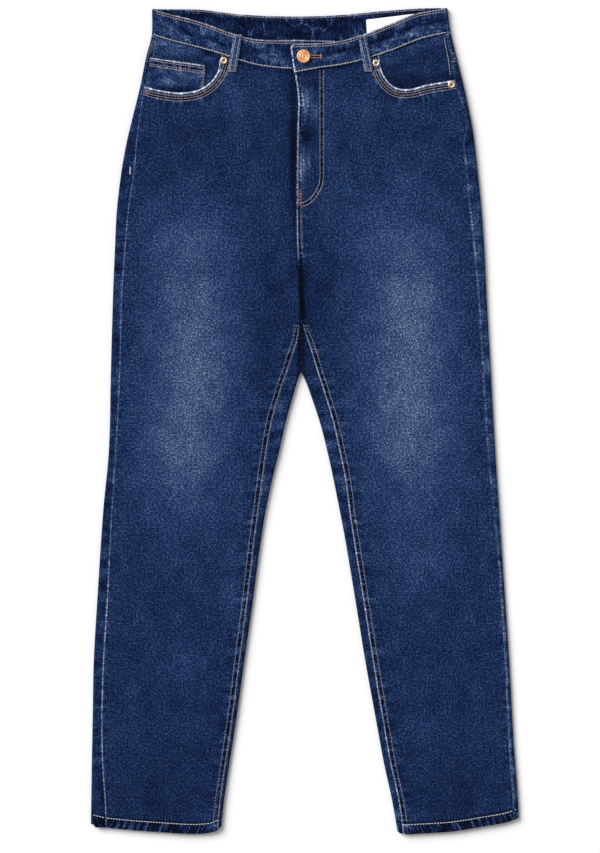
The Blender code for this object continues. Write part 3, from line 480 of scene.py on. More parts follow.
# Indigo twill denim, right side out: warp yarns dyed dark, and a white weft that shows through as pale
# flecks, more so where the wash has worn the blue away. The real yarns are 0.5 mm, which one pixel
# hides, so the flecks are drawn 1.5 to 2.5 mm coarse and the twill 2 mm. Cotton is matt, and hardly shines.
def denim(name, lift=0.0, creased=0.0):
    made, shader = new_material(name, Roughness=0.95, Sheen_Weight=0.02, Sheen_Roughness=0.6)
    shader.inputs["Specular IOR Level"].default_value = 0.06
    tree = made.node_tree
    flat = node(tree, "UVMap", uv_map="flat")
    lean = node(tree, "Mapping", flat, Rotation=(0, 0, 0.45))
    seam = node(tree, "Attribute", attribute_name="seam", out="Vector")
    felled = node(tree, "Attribute", attribute_name="felled", out="Vector")
    fade = node(tree, "Attribute", attribute_name="fade", out="Fac")
    hem = node(tree, "Attribute", attribute_name="above_hem", out="Fac")
    _, away, worn = node(tree, "SeparateXYZ", seam).node.outputs
    middle, half, strength = node(tree, "SeparateXYZ", felled).node.outputs
    off_middle = node(tree, "Math", away, middle, operation="SUBTRACT")
    off_middle = node(tree, "Math", off_middle, operation="ABSOLUTE")
    band = node(tree, "Math", off_middle, half, operation="SUBTRACT")
    off_rows = node(tree, "Math", band, operation="ABSOLUTE")
    reach = node(tree, "Math", worn, 2.2, 0.8, operation="MULTIPLY_ADD")
    over_edge = node(tree, "Math", away, reach, operation="DIVIDE")
    twill = node(tree, "TexWave", flat, Scale=0.444 / 0.0020, Distortion=1.5, Detail=1.0, Detail_Scale=2.0,
                 bands_direction="DIAGONAL", out="Fac")
    clouds = node(tree, "Mapping", flat, Scale=(1 / 0.024, 1 / 0.034, 0))
    clouds = node(tree, "TexNoise", clouds, Scale=1.0, Detail=3.0)

    # Sharp creases crack the dye along thin lines.
    bent = node(tree, "TexNoise", flat, Scale=1 / 0.02, Detail=1.0, out="Color")
    bent = node(tree, "VectorMath", bent, (0.012, 0.012, 0.0), flat, operation="MULTIPLY_ADD")
    cells = node(tree, "Mapping", bent, Rotation=(0, 0, 0.25), Scale=(1 / 0.013, 1 / 0.027, 1))
    from_crack = node(tree, "TexVoronoi", cells, Scale=1.0, feature="DISTANCE_TO_EDGE", out="Distance")

    # The thread draws the cloth beside a seam into short ridges across it, worn pale on their tops, and
    # between two rows of stitches a felled seam is dark, with the ridges as its rungs. The turned-up hem
    # twists as it shrinks, which wears slanting pale bars across it. Each pattern is noise in patches of
    # the size given, in metres over the cloth or in millimetres along a seam.
    part = {"strength": strength, "worn": worn}
    for pattern, over, width, length, detail, low, high, at_low in (
        ("fleck", flat, 0.0021, 0.0025, 1.0, 0.34, 0.68, -1.0),
        ("speck", flat, 0.0015, 0.0016, 1.0, 0.36, 0.68, -1.0),
        ("slub", flat, 0.0022, 0.018, 1.0, 0.30, 0.70, -1.0),
        ("rungs", seam, 2.7, 8.0, 1.0, 0.42, 0.58, -1.0),
        ("puckers", seam, 6.5, 26.0, 2.0, 0.38, 0.66, -1.0),
        ("broken", seam, 6.0, 6.0, 2.0, 0.30, 0.60, 0.74),
        ("slants", lean, 0.0044, 0.03, 1.0, 0.40, 0.62, -1.0),
        ("cracked", flat, 0.016, 0.012, 1.0, 0.42, 0.60, 0.0),
    ):
        patches = node(tree, "Mapping", over, Scale=(1 / width, 1 / length, 0))
        patches = node(tree, "TexNoise", patches, Scale=1.0, Detail=detail)
        part[pattern] = node(tree, "MapRange", patches, low, high, at_low, 1.0,
                             interpolation_type="SMOOTHSTEP")
    for place_name, distance, low, high, at_low, at_high in (
        ("off_edge", away, 1.5, 3.5, 0.0, 0.4),
        ("by_edge", away, 3.5, 9.5, 1.0, 0.0),
        ("sewn", worn, 0.0, 0.5, 0.1, 1.0),
        ("between_rows", band, -0.9, 0.3, 1.0, 0.0),
        ("at_rows", off_rows, 0.0, 1.6, 1.0, 0.0),
        ("by_seam", away, 9.0, 24.0, 1.0, 0.0),
        ("on_edge", over_edge, 0.45, 1.0, 1.0, 0.0),
        ("turned_up", hem, 11.9, 12.9, 1.0, 0.0),
        # above_fold and below_plain mark the strip just above the turned-up hem, which gets a line of painted
        # shade.
        ("above_fold", hem, 12.9, 13.6, 0.0, 1.0),
        ("below_plain", hem, 14.2, 16.5, 1.0, 0.0),
        ("line", from_crack, 0.0, 0.075, 1.0, 0.0),
        ("unrubbed", fade, -0.12, 0.0, 1.0, 0.5),
    ):
        part[place_name] = node(tree, "MapRange", distance, low, high, at_low, at_high,
                                interpolation_type="SMOOTHSTEP")
    for product, first, *others in (
        ("near", "off_edge", "by_edge", "sewn"),
        ("inside", "between_rows", "strength"),
        ("beside_rows", "at_rows", "strength"),
        ("pucker", "strength", "worn", "by_seam", "puckers"),
        ("edge", "on_edge", "broken", "worn"),
        ("bars", "slants", "turned_up"),
        ("under_row", "above_fold", "below_plain"),
        ("crack", "line", "cracked", "unrubbed"),
    ):
        part[product] = part[first]
        for other in others:
            part[product] = node(tree, "Math", part[product], part[other], operation="MULTIPLY")
    ridged = node(tree, "Math", part["near"], part["inside"], operation="MAXIMUM")
    part["rung"] = node(tree, "Math", part["rungs"], ridged, operation="MULTIPLY")

    light = node(tree, "Math", fade, 0.345 + lift, operation="ADD")
    for name_of, size in (("fleck", 0.105), ("speck", 0.095), ("slub", 0.030), ("rung", 0.19), ("edge", 0.60),
                          ("inside", -0.11), ("beside_rows", 0.20), ("pucker", 0.16), ("turned_up", -0.07),
                          ("bars", 0.20), ("under_row", -0.15), ("crack", creased)):
        light = node(tree, "Math", part[name_of], size, light, operation="MULTIPLY_ADD")
    for value, size in ((clouds, 0.22), (twill, 0.06)):
        swing = node(tree, "Math", value, 0.5, operation="SUBTRACT")
        light = node(tree, "Math", swing, size, light, operation="MULTIPLY_ADD")
    dye = node(tree, "ValToRGB", light)
    stops = ((0.0, "#010410"), (0.16, "#050F2C"), (0.30, "#0D2046"), (0.40, "#19315A"), (0.50, "#2E436B"),
             (0.62, "#4C5F82"), (0.80, "#8A95AB"), (1.0, "#DEDFE1"))
    ramp = dye.node.color_ramp.elements
    ramp[0].color, ramp[1].color = colour(stops[0][1]), colour(stops[-1][1])
    for position, hexed in stops[1:-1]:
        ramp.new(position).color = colour(hexed)
    tree.links.new(dye, shader.inputs["Base Color"])
    grain = node(tree, "Math", part["speck"], 0.3, part["fleck"], operation="MULTIPLY_ADD")
    grain = node(tree, "Math", twill, 0.5, grain, operation="MULTIPLY_ADD")
    fine = node(tree, "Bump", Height=grain, Strength=0.5, Distance=0.0002)
    drawn_in = node(tree, "Math", part["rung"], part["bars"], operation="ADD")
    drawn_in = node(tree, "Math", part["inside"], -1.0, drawn_in, operation="MULTIPLY_ADD")
    drawn_in = node(tree, "Math", part["crack"], 4 * creased, drawn_in, operation="MULTIPLY_ADD")
    drawn = node(tree, "Bump", Height=drawn_in, Normal=fine, Strength=0.8, Distance=0.0005)
    tree.links.new(drawn, shader.inputs["Normal"])
    return made


washed_denim = denim("washed_indigo_denim")


def back_sewing(which, across, down):
    return ({"bottom": 0.25, "start": 0.30}.get(which, 0.12), *UNSEWN)


def back_fade(across, down):
    """The strips that turn up beside the fronts are rubbed in patches, more on the wearer's left."""
    leg = LEGS["left" if across > CENTRE_BACK else "right"]
    out = leg.way * across
    strip = ease((out - leg.side_seam(down)) / 12 + 1)
    if down > APEX_DOWN:
        strip = max(strip, ease((leg.inseam(down) - out) / 12 + 1))
    patch = noise.noise(Vector((across / 20, down / 11, 8)))
    between = math.exp(-(((across - CENTRE_BACK) / 3.6) ** 2)) * ease((470 - down) / 30)
    rubbed = 0.07 * ease((across - 100) / 40) * ease((down - 150) / 100)
    return faded(across, down) - 0.03 + (0.04 + 0.18 * strip) * patch - 0.34 * between + rubbed * strip


pieces = {}
for side, leg in LEGS.items():
    name = f"back_{side}"
    piece = cloth(f"{name}_denim", back(leg), CLOTH, washed_denim, side == "left", THICK_ROWS, back_sewing,
                  back_fade)
    pieces[name] = piece
    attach(piece, "root")
    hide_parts(name)

# ------------------------------------------------------------------ the fronts
# The two front panels, from the side seam round the scooped pocket edge to the fly, and down to the hem.
# The wearer's right front runs on under the fly as the underlap, and the left front stands over it.

FLY_TOP_DOWN, FLY_END_DOWN, FLY_WIDTH, UNDERLAP_WIDTH, UNDERLAP_UP = 80.0, 245.0, 27.0, 26.0, 4.3
BAND_RIGHT = (
    ("across", "top", "bottom"),
    (-191, 2.6, 35.0), (-169, 8.6, 41.8), (-131, 18.6, 51.6), (-102, 29.0, 60.0), (-81, 35.8, 67.0),
    (-61, 40.2, 72.6), (-37, 41.2, 76.0), (-6, 41.0, 77.4), (16, 41.4, 74.4), (38, 42.2, 71.6),
)
BAND_LEFT = (
    ("across", "top", "bottom"),
    (-19, 46.6, 84.2), (-6, 45.8, 81.0), (21, 45.2, 76.2), (44, 42.4, 73.0), (70, 35.2, 67.0),
    (89, 28.6, 61.0), (111, 19.6, 53.6), (137, 8.8, 42.8), (156, 4.6, 37.0), (182, 1.0, 32.0),
)
BAND_BACK = (
    ("across", "top", "bottom"),
    (-191, 2.0, 35.0), (-131, 3.0, 37.0), (-100, 6.8, 41.0), (-60, 10.2, 45.0), (-5, 11.4, 46.5),
    (44, 9.6, 45.0), (94, 5.0, 40.0), (144, 1.4, 35.0), (180, 0.4, 32.0),
)
OPENING_RIGHT = (
    ("across", "down"),
    (-201.0, 98.6), (-186.0, 102.8), (-170.0, 105.6), (-158.0, 106.8), (-146.0, 106.0), (-132.0, 102.8),
    (-119.5, 95.0), (-111.0, 84.5), (-106.3, 73.0), (-104.6, 59.8),
)
OPENING_LEFT = (
    ("across", "down"),
    (187.5, 91.0), (169.0, 94.0), (150.0, 97.2), (139.0, 100.6), (129.0, 102.4), (118.0, 102.0),
    (108.0, 97.4), (99.5, 87.0), (94.6, 76.0), (92.4, 60.0),
)
bands = {
    name: (curve(table, "across", "top"), curve(table, "across", "bottom"))
    for name, table in (("left", BAND_LEFT), ("right", BAND_RIGHT), ("back", BAND_BACK))
}
openings = {"right": OPENING_RIGHT, "left": OPENING_LEFT}


def route(table):
    """A smooth line through a table's (across, down) rows, read by a share of its length from 0 to 1."""
    rows = [row[-2:] for row in table[1:]]
    lengths = travel(rows, range(len(rows)))
    by_length = (("length", "across", "down"), *((at, *row) for at, row in zip(lengths, rows)))
    across, down = curve(by_length, "length", "across"), curve(by_length, "length", "down")
    return lambda share: (across(share * lengths[-1]), down(share * lengths[-1]))


def fly_share(down):
    return 1 - ease((down - FLY_END_DOWN) / 20)


def left_front_up(across, down):
    beside = 1 - ease((across - centre_front(down) - FLY_WIDTH) / 14)
    return top_up(across, down) + beside * fly_share(down)


def right_front_up(across, down):
    sink = ease(1 + (across - centre_front(down) - 4) / 24) * fly_share(down)
    return mix(top_up(across, down), UNDERLAP_UP, sink)


fronts_up = {"right": right_front_up, "left": left_front_up}


def front(leg, side, underlap):
    edge, up_of = route(openings[side]), fronts_up[side]
    corner, centre_top = abs(openings[side][-1][0]), leg.way * centre_front(FLY_TOP_DOWN)
    tops = [(leg.way * across, down) for across, down in map(edge, shares(42))]
    fly_from = 26.0 if side == "left" else 6.0
    outs = steps(corner, fly_from)[1:] + steps(fly_from, centre_top, 1.5)[1:]
    tops += [(out, bands[side][1](leg.way * out) + GAP / 2) for out in outs]
    first = tops[0][1]
    rows = rows_down(first, SEAT_ROW)
    columns = []
    for k, (out, top) in enumerate(tops):
        even = k / (len(tops) - 1)
        at_top = (leg.side_seam(top) - out) / (leg.side_seam(top) - leg.inseam(top))
        column = []
        for row in rows:
            if row < SEAT_ROW:
                down = mix(top, SEAT_ROW, (row - first) / (SEAT_ROW - first))
            else:
                down = leg.row_down(row, mix(leg.side_seam(row), leg.inseam(row), even))
            share = min(max(mix(at_top, even, ease((down - top) / 150)), 0.0), 1.0)
            x = leg.way * mix(leg.side_seam(down) - GAP / 2, leg.inseam(down) + GAP / 2, share)
            column.append((x, down, up_of(x, down)))
        columns.append(column)
    grid = [list(row) for row in zip(*columns)]
    for row in grid if underlap else ():
        across, down, _ = row[-1]
        if down < FLY_END_DOWN:
            for x in steps(across, across + UNDERLAP_WIDTH)[1:]:
                row.append((x, down + 1, up_of(x, down)))
    return grid


# Where the teeth of the zip have rubbed the fly pale, in upright streaks with a dark fold between them.
FLY_RUBS = (
    ("across", "down", "length", "width", "turn", "pale"),
    (-1.8, 117, 22, 2.3, 88, 0.30), (3.0, 114, 15, 2.0, 92, 0.24), (8.2, 116, 24, 2.2, 90, 0.16),
    (13.6, 131, 17, 2.2, 90, 0.19), (-6.4, 197, 19, 1.8, 90, 0.18), (-1.8, 199, 22, 2.3, 91, 0.34),
    (4.6, 193, 13, 2.0, 89, 0.19), (13.2, 184, 12, 2.0, 90, 0.13), (-1, 118, 24, 8, 90, 0.05),
    (0, 196, 22, 8, 90, 0.05), (0.5, 160, 9, 10, 0, -0.20), (9, 96, 14, 5, 0, -0.08),
)
fly_rubs = spread(FLY_RUBS, "pale")
# The middle of the two rows of stitches that hold the fly, which end in a curve.
FLY_STITCHES = (
    ("across", "down"),
    (20.8, 79.0), (20.8, 110.0), (20.9, 145.0), (20.8, 180.0), (20.8, 212.0), (19.6, 221.0), (16.2, 229.0),
    (10.8, 237.5), (3.0, 244.0), (-5.8, 247.6),
)
fly_line = [route(FLY_STITCHES)(share) for share in shares(70)]


def from_line(points, across, down):
    """Which point of a line is nearest, and how far to the side of the line a place is."""
    k = min(range(len(points)), key=lambda k: math.dist(points[k], (across, down)))
    a, b = points[max(k - 1, 0)], points[min(k + 1, len(points) - 1)]
    away = ((across - points[k][0]) * (b[1] - a[1]) - (down - points[k][1]) * (b[0] - a[0])) / math.dist(a, b)
    at_end = k in (0, len(points) - 1) and math.dist(points[k], (across, down)) > abs(away) + 2
    return (None, None) if at_end else (k, away)


def front_line(leg, side):
    """The places near the scooped pocket edge, and near the fly's stitches."""
    edge = [route(openings[side])(share) for share in shares(60)]

    def near(across, down):
        if abs(across) > 80 and down < 135:
            k, away = from_line(edge, across, down)
            away = k is not None and leg.way * away
            others = min(leg.side_seam(down) - abs(across), down - bands[side][1](across) + 6)
            if k is not None and away < min(26, others):
                return (k * 2.4, max(away, 0.0), 1.0, *POCKET_HEM)
        if side == "left" and -8 < across < 32 and 76 < down < 254:
            k, away = from_line(fly_line, across, down)
            if k is not None and abs(away) < 8.5:
                return (k * 2.6, FELLED[0] + away, 0.0, *FELLED[:2], 1.0 if abs(away) < 6.8 else 0.0)
        return None

    return near


def front_sewing(side):
    corner = abs(openings[side][-1][0])

    def sewing(which, across, down):
        if which == "top":
            return (1.0, *POCKET_HEM) if abs(across) > corner + 0.5 else (0.12, *UNSEWN)
        if which == "start":
            return (mix(0.40, 0.62, ease((down - 600) / 200)), *UNSEWN)
        if which == "bottom":
            return (0.25, *UNSEWN)
        if down > CROTCH_DOWN + 2:
            return (0.55 * ease((down - CROTCH_DOWN) / 30), *FELLED)
        if side == "left" and down < FLY_END_DOWN:
            near_edge = across - centre_front(down) < 8
            return (mix(0.82, 0.55, ease((down - 140) / 60)), 3.4, 1.7, 0.7 if near_edge else 0.0)
        return (0.45, *FELLED[:2], ease((330 - down) / 26)) if side == "left" else (0.1, *UNSEWN)

    return sewing


def front_fade_and_shade(across, down):
    """The cloth over the zip is rubbed pale in upright streaks, with a dark fold across. Painted shade
    darkens the crease where the left front sinks below the right one, and a painted shadow lies along the
    foot of the waistband.
    """
    pale = faded(across, down)
    into_fly = across - centre_front(down)
    if 0 < into_fly < 30 and down < 240:
        fine = noise.noise(Vector((across / 2.1, down / 60, 6)))
        fine += 0.25 * noise.noise(Vector((across / 5, down / 16, 8)))
        rub = fly_rubs(across, down)
        pale += (rub * max(0.5, 1 + 1.2 * fine) if rub > 0 else rub) - 0.03
    # Painted shade: a narrow dark crease where the left front sinks below the right one, with a broader
    # painted shade beside it.
    if 0 < into_fly < 20 and 300 < down < CROTCH_DOWN + 10:  # the left front sinks below the right one
        deep = ease((down - 306) / 34) * ease((CROTCH_DOWN + 8 - down) / 22)
        painted_shade = 0.52 * (1 - ease((into_fly - 2.2 * deep) / 4)) + 0.22 * math.exp(-((into_fly / 9) ** 2))
        pale -= painted_shade * deep
    side = "right" if across < centre_front(down) else "left"
    under_band = down - bands[side][1](across)
    # Painted shadow that the waistband casts on the fronts just below its bottom edge.
    if -1 < under_band < 12 and abs(across) < 105:
        pale -= 0.16 * math.exp(-((under_band / 4) ** 2))
    return pale


for side, leg in LEGS.items():
    name = f"front_{side}"
    grid = front(leg, side, side == "right")
    piece = cloth(f"{name}_denim", grid, CLOTH, washed_denim, side == "right", THICK_ROWS,
                  front_sewing(side), front_fade_and_shade, front_line(leg, side))
    pieces[name] = piece
    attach(piece, "root")
    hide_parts(name)

# ------------------------------------------------------------------ the yokes
# The shaped strip between the waistband and the back panel of each side, cut from the same denim. Its
# end shows on top beside the pocket. The rest is under the seat.

BAND_SIDE_DOWN = 36.0


def yoke(leg, side):
    seat = leg.way * CENTRE_BACK + GAP / 2
    grid = []
    for share_down in shares(14):
        row = mix(BAND_SIDE_DOWN, YOKE_SIDE_DOWN, share_down)

        def down_at(out, front_share):
            across = leg.way * out
            top = mix(bands["back"][1](across), bands[side][1](across), front_share) + GAP / 2
            return mix(top, mix(yoke_seam(across), YOKE_SIDE_DOWN, front_share) - GAP / 2, share_down)

        points = side_points(leg, row, down_at) + under_points(leg, row, seat, down_at)
        down = down_at(seat, 0.0)
        points.append((seat, down, under_up(leg, seat, down)))
        grid.append([(leg.way * out, down, up) for out, down, up in points])
    return grid


for side, leg in LEGS.items():
    name = f"yoke_{side}"
    piece = cloth(f"{name}_denim", yoke(leg, side), CLOTH, washed_denim, side == "left", 0,
                  lambda which, *at: (0.45, *UNSEWN), back_fade)
    pieces[name] = piece
    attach(piece, "root")
    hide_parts(name)

# ------------------------------------------------------------------ the waistband
# One doubled and stiffened strip goes right round. Its left end is the tab over the fly, with the
# buttonhole cut through it, and its right end lies under that. It wrinkles along its length.

BAND_CLOTH, UNDERLAP_END, TAB_TOP, TAB_BOTTOM, TAB_CORNER = 2.4, 38.0, -18.6, -13.4, 3.2
BUTTON_ACROSS, BUTTON_DOWN, BUTTONHOLE_EYE, BUTTONHOLE_SLIT, BUTTONHOLE_END = -1.75, 62.0, 3.0, 1.6, 19.5
LEFT_BAND_UP = (("across", "up"), (-20, 9.4), (36, 9.4), (62, 8.3), (100, 8.1), (182, 7.4))
RIGHT_BAND_UP = (("across", "up"), (-191, 7.4), (-120, 7.8), (-60, 7.4), (-24, 6.7), (40, 6.7))
band_ups = {"left": curve(LEFT_BAND_UP, "across", "up"), "right": curve(RIGHT_BAND_UP, "across", "up")}
# The band's main creases, which sink and stay dark, and the ridges between them, which are rubbed pale.
BAND_CREASES = (
    ("across", "down", "length", "width", "turn", "pale"),
    (-183, 28.7, 9, 5, 0, 0.10), (-166, 31.5, 9, 5, 15, 0.09), (-147.7, 38.6, 9, 4, 16, 0.13),
    (-141, 26.2, 9, 5, 12, 0.10), (-161, 22.6, 15, 3.4, 33, -0.13), (-145.5, 32.6, 9, 2.2, 38, -0.24),
    (-106.8, 45, 12, 2.3, 34, -0.24), (-117, 46.5, 9, 4.4, 22, 0.13), (-126, 30.5, 10, 4, 35, 0.09),
    (-104, 37, 6, 4, 20, 0.07), (-73.5, 52, 8, 13, 0, -0.13), (-49, 57, 14, 8, 10, 0.08),
    (-33, 63.8, 9, 7, 0, 0.08), (-23.6, 58, 3.4, 13, 0, -0.10), (47.8, 54.4, 18, 2.4, -14, -0.22),
    (13, 72.5, 11, 4, -6, -0.10), (28, 67.5, 9, 3.4, -10, 0.08), (91.7, 41, 15, 2.4, -20, -0.22),
    (120.8, 30.4, 17, 2.6, -21, -0.26), (157, 19.6, 20, 2.4, -14, -0.28), (87.5, 37.4, 5, 2, 45, 0.15),
    (159.7, 27, 10, 3.6, 5, 0.13), (133, 34.6, 13, 4, -16, 0.10), (100, 47, 10, 4, -20, 0.08),
)
band_creases = spread(BAND_CREASES, "pale")


def band_wrinkle(side, across, down):
    """Long wrinkles that follow the band and short ones across it, calmer towards the tab, from -1 to 1."""
    top, bottom = bands[side]
    share = (down - top(across)) / (bottom(across) - top(across))
    calm = 0.5 + 0.5 * ease((abs(across - 5) - 20) / 50)
    wander = 0.6 * noise.noise(Vector((across / 35, share, 3)))
    long = noise.noise(Vector((across / 30 + 0.9 * share, 2.9 * share + wander, 4)))
    short = noise.noise(Vector((across / 8 + 1.8 * share, 3.4 * share + wander, 9)))
    return calm * (long + 0.45 * short)


def band_fold(leg, side, share_down):
    across = leg.way * leg.outer(16)
    edges, edges_back = [edge(across) for edge in bands[side]], [edge(across) for edge in bands["back"]]
    high = band_ups[side](across)
    points = []
    for k, (short, up) in enumerate(half_round(high / 2, 0.0, high, 8)):
        edge, edge_back = (mix(*ends, share_down) - GAP / 2 for ends in (edges, edges_back))
        down = mix(edge, edge_back, k / 8)
        points.append((leg.way * (leg.outer(down) - short), down, up))
    return points


def waistband_grid():
    right, left = LEGS["right"], LEGS["left"]
    grid = []
    for share_down in shares(19):

        def on_front(side, across):
            top, bottom = bands[side]
            down = mix(top(across), bottom(across), share_down) - GAP / 2
            rise = 0.6 * band_wrinkle(side, across, down) + 1.6 * band_creases(across, down)
            return (across, down, band_ups[side](across) + rise)

        def on_back(leg, share):
            out = mix(leg.way * CENTRE_BACK, leg.outer(BAND_SIDE_DOWN * share_down) - 3.8, share)
            top, bottom = bands["back"]
            down = mix(top(leg.way * out), bottom(leg.way * out), share_down) - GAP / 2
            up = min(SEAT_LIFT, under_up(leg, out, down))
            return (leg.way * out, down, up + 0.4 * max(0, band_wrinkle("back", leg.way * out, down)))

        rounded = TAB_CORNER * (1 - ease(share_down / 0.12)) if share_down < 0.12 else 0.0
        end = mix(TAB_TOP, TAB_BOTTOM, share_down) + rounded
        row = [on_front("right", across) for across in steps(UNDERLAP_END, -185, 2)]
        row += band_fold(right, "right", share_down)
        row += [on_back(right, share) for share in shares(80)[79:0:-1]]
        row += [on_back(left, share) for share in shares(80)[:80]]
        row += reversed(band_fold(left, "left", share_down))
        row += [on_front("left", across) for across in steps(171, end, 2)]
        grid.append(row)
    return grid


def band_sewing(which, across, down):
    if which in ("start", "end"):
        return (0.9, *UNSEWN)
    return (0.5, *BAND_HEM) if which == "top" else (0.5, *UNSEWN)


def band_fade(across, down):
    """The wrinkles' tops are rubbed pale, and the inside of the back is dark with thin scratches."""
    side = "right" if across < 0 else "left"
    if bands["back"][0](across) - 1 <= down < bands[side][0](across):
        patch = noise.noise(Vector((across / 18, down / 10, 15)))
        under_edge = math.exp(-(((down - bands["back"][0](across) - 7) / 4) ** 2))
        return 0.18 * patch - 0.13 - 0.08 * under_edge
    wrinkle = band_wrinkle(side, across, down)
    rubbed = 0.45 + noise.noise(Vector((across / 26, down / 13, 12)))
    crest = max(0.0, 1 - abs(wrinkle - 0.16) / 0.11)
    valley = max(0.0, 1 - abs(wrinkle + 0.16) / 0.14)
    speckle = noise.noise(Vector((across / 5, down / 4, 13)))
    own = 0.20 * crest * rubbed + 0.10 * max(0.0, rubbed - 0.2) * (1 + 2 * speckle) - 0.15 * valley
    return own + band_creases(across, down) * (1 + 0.8 * speckle)


creased_denim = denim("creased_indigo_denim", creased=0.30)
waistband = cloth("waistband_denim", waistband_grid(), BAND_CLOTH, creased_denim, False, 0, band_sewing,
                  band_fade)

# The buttonhole is cut through the tab: a round eye under the button and a slit away from it.
CUT_UP, CUT_DEEP = 8.9, 4
bpy.ops.mesh.primitive_cylinder_add(vertices=24, radius=BUTTONHOLE_EYE * MM, depth=CUT_DEEP * MM,
                                    location=place(BUTTON_ACROSS, BUTTON_DOWN, CUT_UP))
eye = bpy.context.object
bpy.ops.mesh.primitive_cube_add(size=MM, scale=(BUTTONHOLE_END - BUTTON_ACROSS, BUTTONHOLE_SLIT, CUT_DEEP),
                                location=place((BUTTON_ACROSS + BUTTONHOLE_END) / 2, BUTTON_DOWN, CUT_UP))
slit = bpy.context.object
for cutter in (eye, slit):
    cut = waistband.modifiers.new("Buttonhole", "BOOLEAN")
    cut.operation, cut.object = "DIFFERENCE", cutter
    bpy.context.view_layer.objects.active = waistband
    bpy.ops.object.modifier_apply(modifier="Buttonhole")
    bpy.data.objects.remove(cutter)
pieces["waistband"] = waistband
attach(waistband, "root")
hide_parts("waistband")

# ------------------------------------------------------------------ the front pockets' facings
# What shows inside each front pocket: a facing of the same denim, sewn under the waistband, less washed
# than the outside. The coin pocket is a small patch sewn on the wearer's right facing.

FACING_UNDER, FACING_DEPTH = 19.0, {"right": 3.1, "left": 1.8}
COIN_POCKET = (
    ("corner", "across", "down"),
    ("top_side", -196.0, 62.6), ("top_inner", -124.4, 72.4), ("bottom_inner", -127.5, 117.0),
    ("bottom_side", -206.0, 114.0),
)
facing_denim = denim("deep_indigo_denim", lift=-0.03)


def facing_up(depth):
    def up_of(across, down):
        lowered = ease((down - 28) / 46)
        return top_up(across, down) - mix(1.6, depth, lowered)

    return up_of


def facing(leg, side):
    edge, up_of = route(openings[side]), facing_up(FACING_DEPTH[side])
    innermost = abs(openings[side][-1][0]) - 14
    outs = steps(leg.side_seam(BAND_SIDE_DOWN), innermost)
    columns = []
    for k, top_out in enumerate(outs):
        share = k / (len(outs) - 1)
        top = bands[side][1](leg.way * top_out) + GAP / 2
        across, down_here = edge(share)
        behind, ahead = (Vector(edge(min(max(share + step, 0), 1))) for step in (-0.02, 0.02))
        along = (ahead - behind).normalized()
        low_out = leg.way * across + along.y * FACING_UNDER
        low = max(down_here - leg.way * along.x * FACING_UNDER, top + 7)
        column = []
        for share_down in shares(26):
            down = mix(top, low, share_down)
            out = mix(top_out, low_out, share_down) if k else leg.side_seam(down)
            out = min(out, leg.side_seam(down) - GAP / 2)
            column.append((leg.way * out, down, up_of(leg.way * out, down)))
        columns.append(column)
    return [list(row) for row in zip(*columns)]


def facing_fade_and_shade(across, down):
    """Rubbed below the waistband on the wearer's right, and painted shade down inside the wearer's left
    pocket, under its edge.
    """
    patch = noise.noise(Vector((across / 16, down / 8, 3)))
    if across < 0:
        return 0.20 * ease((-125 - across) / 30) * ease((70 - down) / 20) + 0.24 * patch
    # low darkens the facing with painted shade under the pocket's edge.
    low = ease((down - 78) / 16)
    return 0.10 * patch - 0.10 * low + 0.10 * math.exp(-(((down - 58 + 0.3 * (across - 100)) / 8) ** 2))


for side, leg in LEGS.items():
    name = f"pocket_facing_{side}"
    piece = cloth(f"{name}_denim", facing(leg, side), CLOTH, facing_denim, side == "right", 0,
                  lambda which, *at: (0.55 if which == "start" else 0.2, *UNSEWN), facing_fade_and_shade)
    pieces[name] = piece
    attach(piece, "root")
    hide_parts(name)


def corners_of(table):
    return {row["corner"]: (row["across"], row["down"]) for row in rows_of(table)}


def within(corners, share, share_down):
    """A place between the corners of a patch, which its table names round it, from its top's start."""
    top_start, top_end, foot_end, foot_start = corners.values()
    return (
        mix(mix(top_start[k], top_end[k], share), mix(foot_start[k], foot_end[k], share), share_down)
        for k in (0, 1)
    )


def coin_pocket():
    corners, up_of, leg = corners_of(COIN_POCKET), facing_up(FACING_DEPTH["right"]), LEGS["right"]
    grid = []
    for share_down in shares(22):
        row = []
        for share in shares(34):
            across, down = within(corners, share, share_down)
            across = max(across, -(leg.side_seam(down) - 2 * GAP))
            row.append((across, down, up_of(across, down) + GAP + CLOTH))
        grid.append(row)
    return grid


def coin_sewing(which, across, down):
    return (0.6, 5.9, 4.4, 0.9) if which == "top" else (0.5 if which == "end" else 0.1, *UNSEWN)


def coin_fade_and_shadow(across, down):
    patch = noise.noise(Vector((across / 15, down / 9, 2)))
    # The foot of the coin pocket, under the front's pocket edge, gets painted shadow.
    return 0.09 + 0.22 * patch - 0.24 * ease((down - 96) / 10)


piece = cloth("coin_pocket_denim", coin_pocket(), CLOTH, washed_denim, True, 0, coin_sewing, coin_fade_and_shadow)
pieces["coin_pocket"] = piece
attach(piece, "root")
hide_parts("coin_pocket")

# ------------------------------------------------------------------ the back pockets
# Two plain patch pockets under the seat, flat on the floor, each with a pointed foot.

BACK_POCKET = (("inner", "down"), (0.00, 132.0), (1.00, 124.0), (0.93, 262.0), (0.50, 286.0), (0.07, 264.0))
BACK_POCKET_INNER, BACK_POCKET_WIDE = 24.0, 124.0


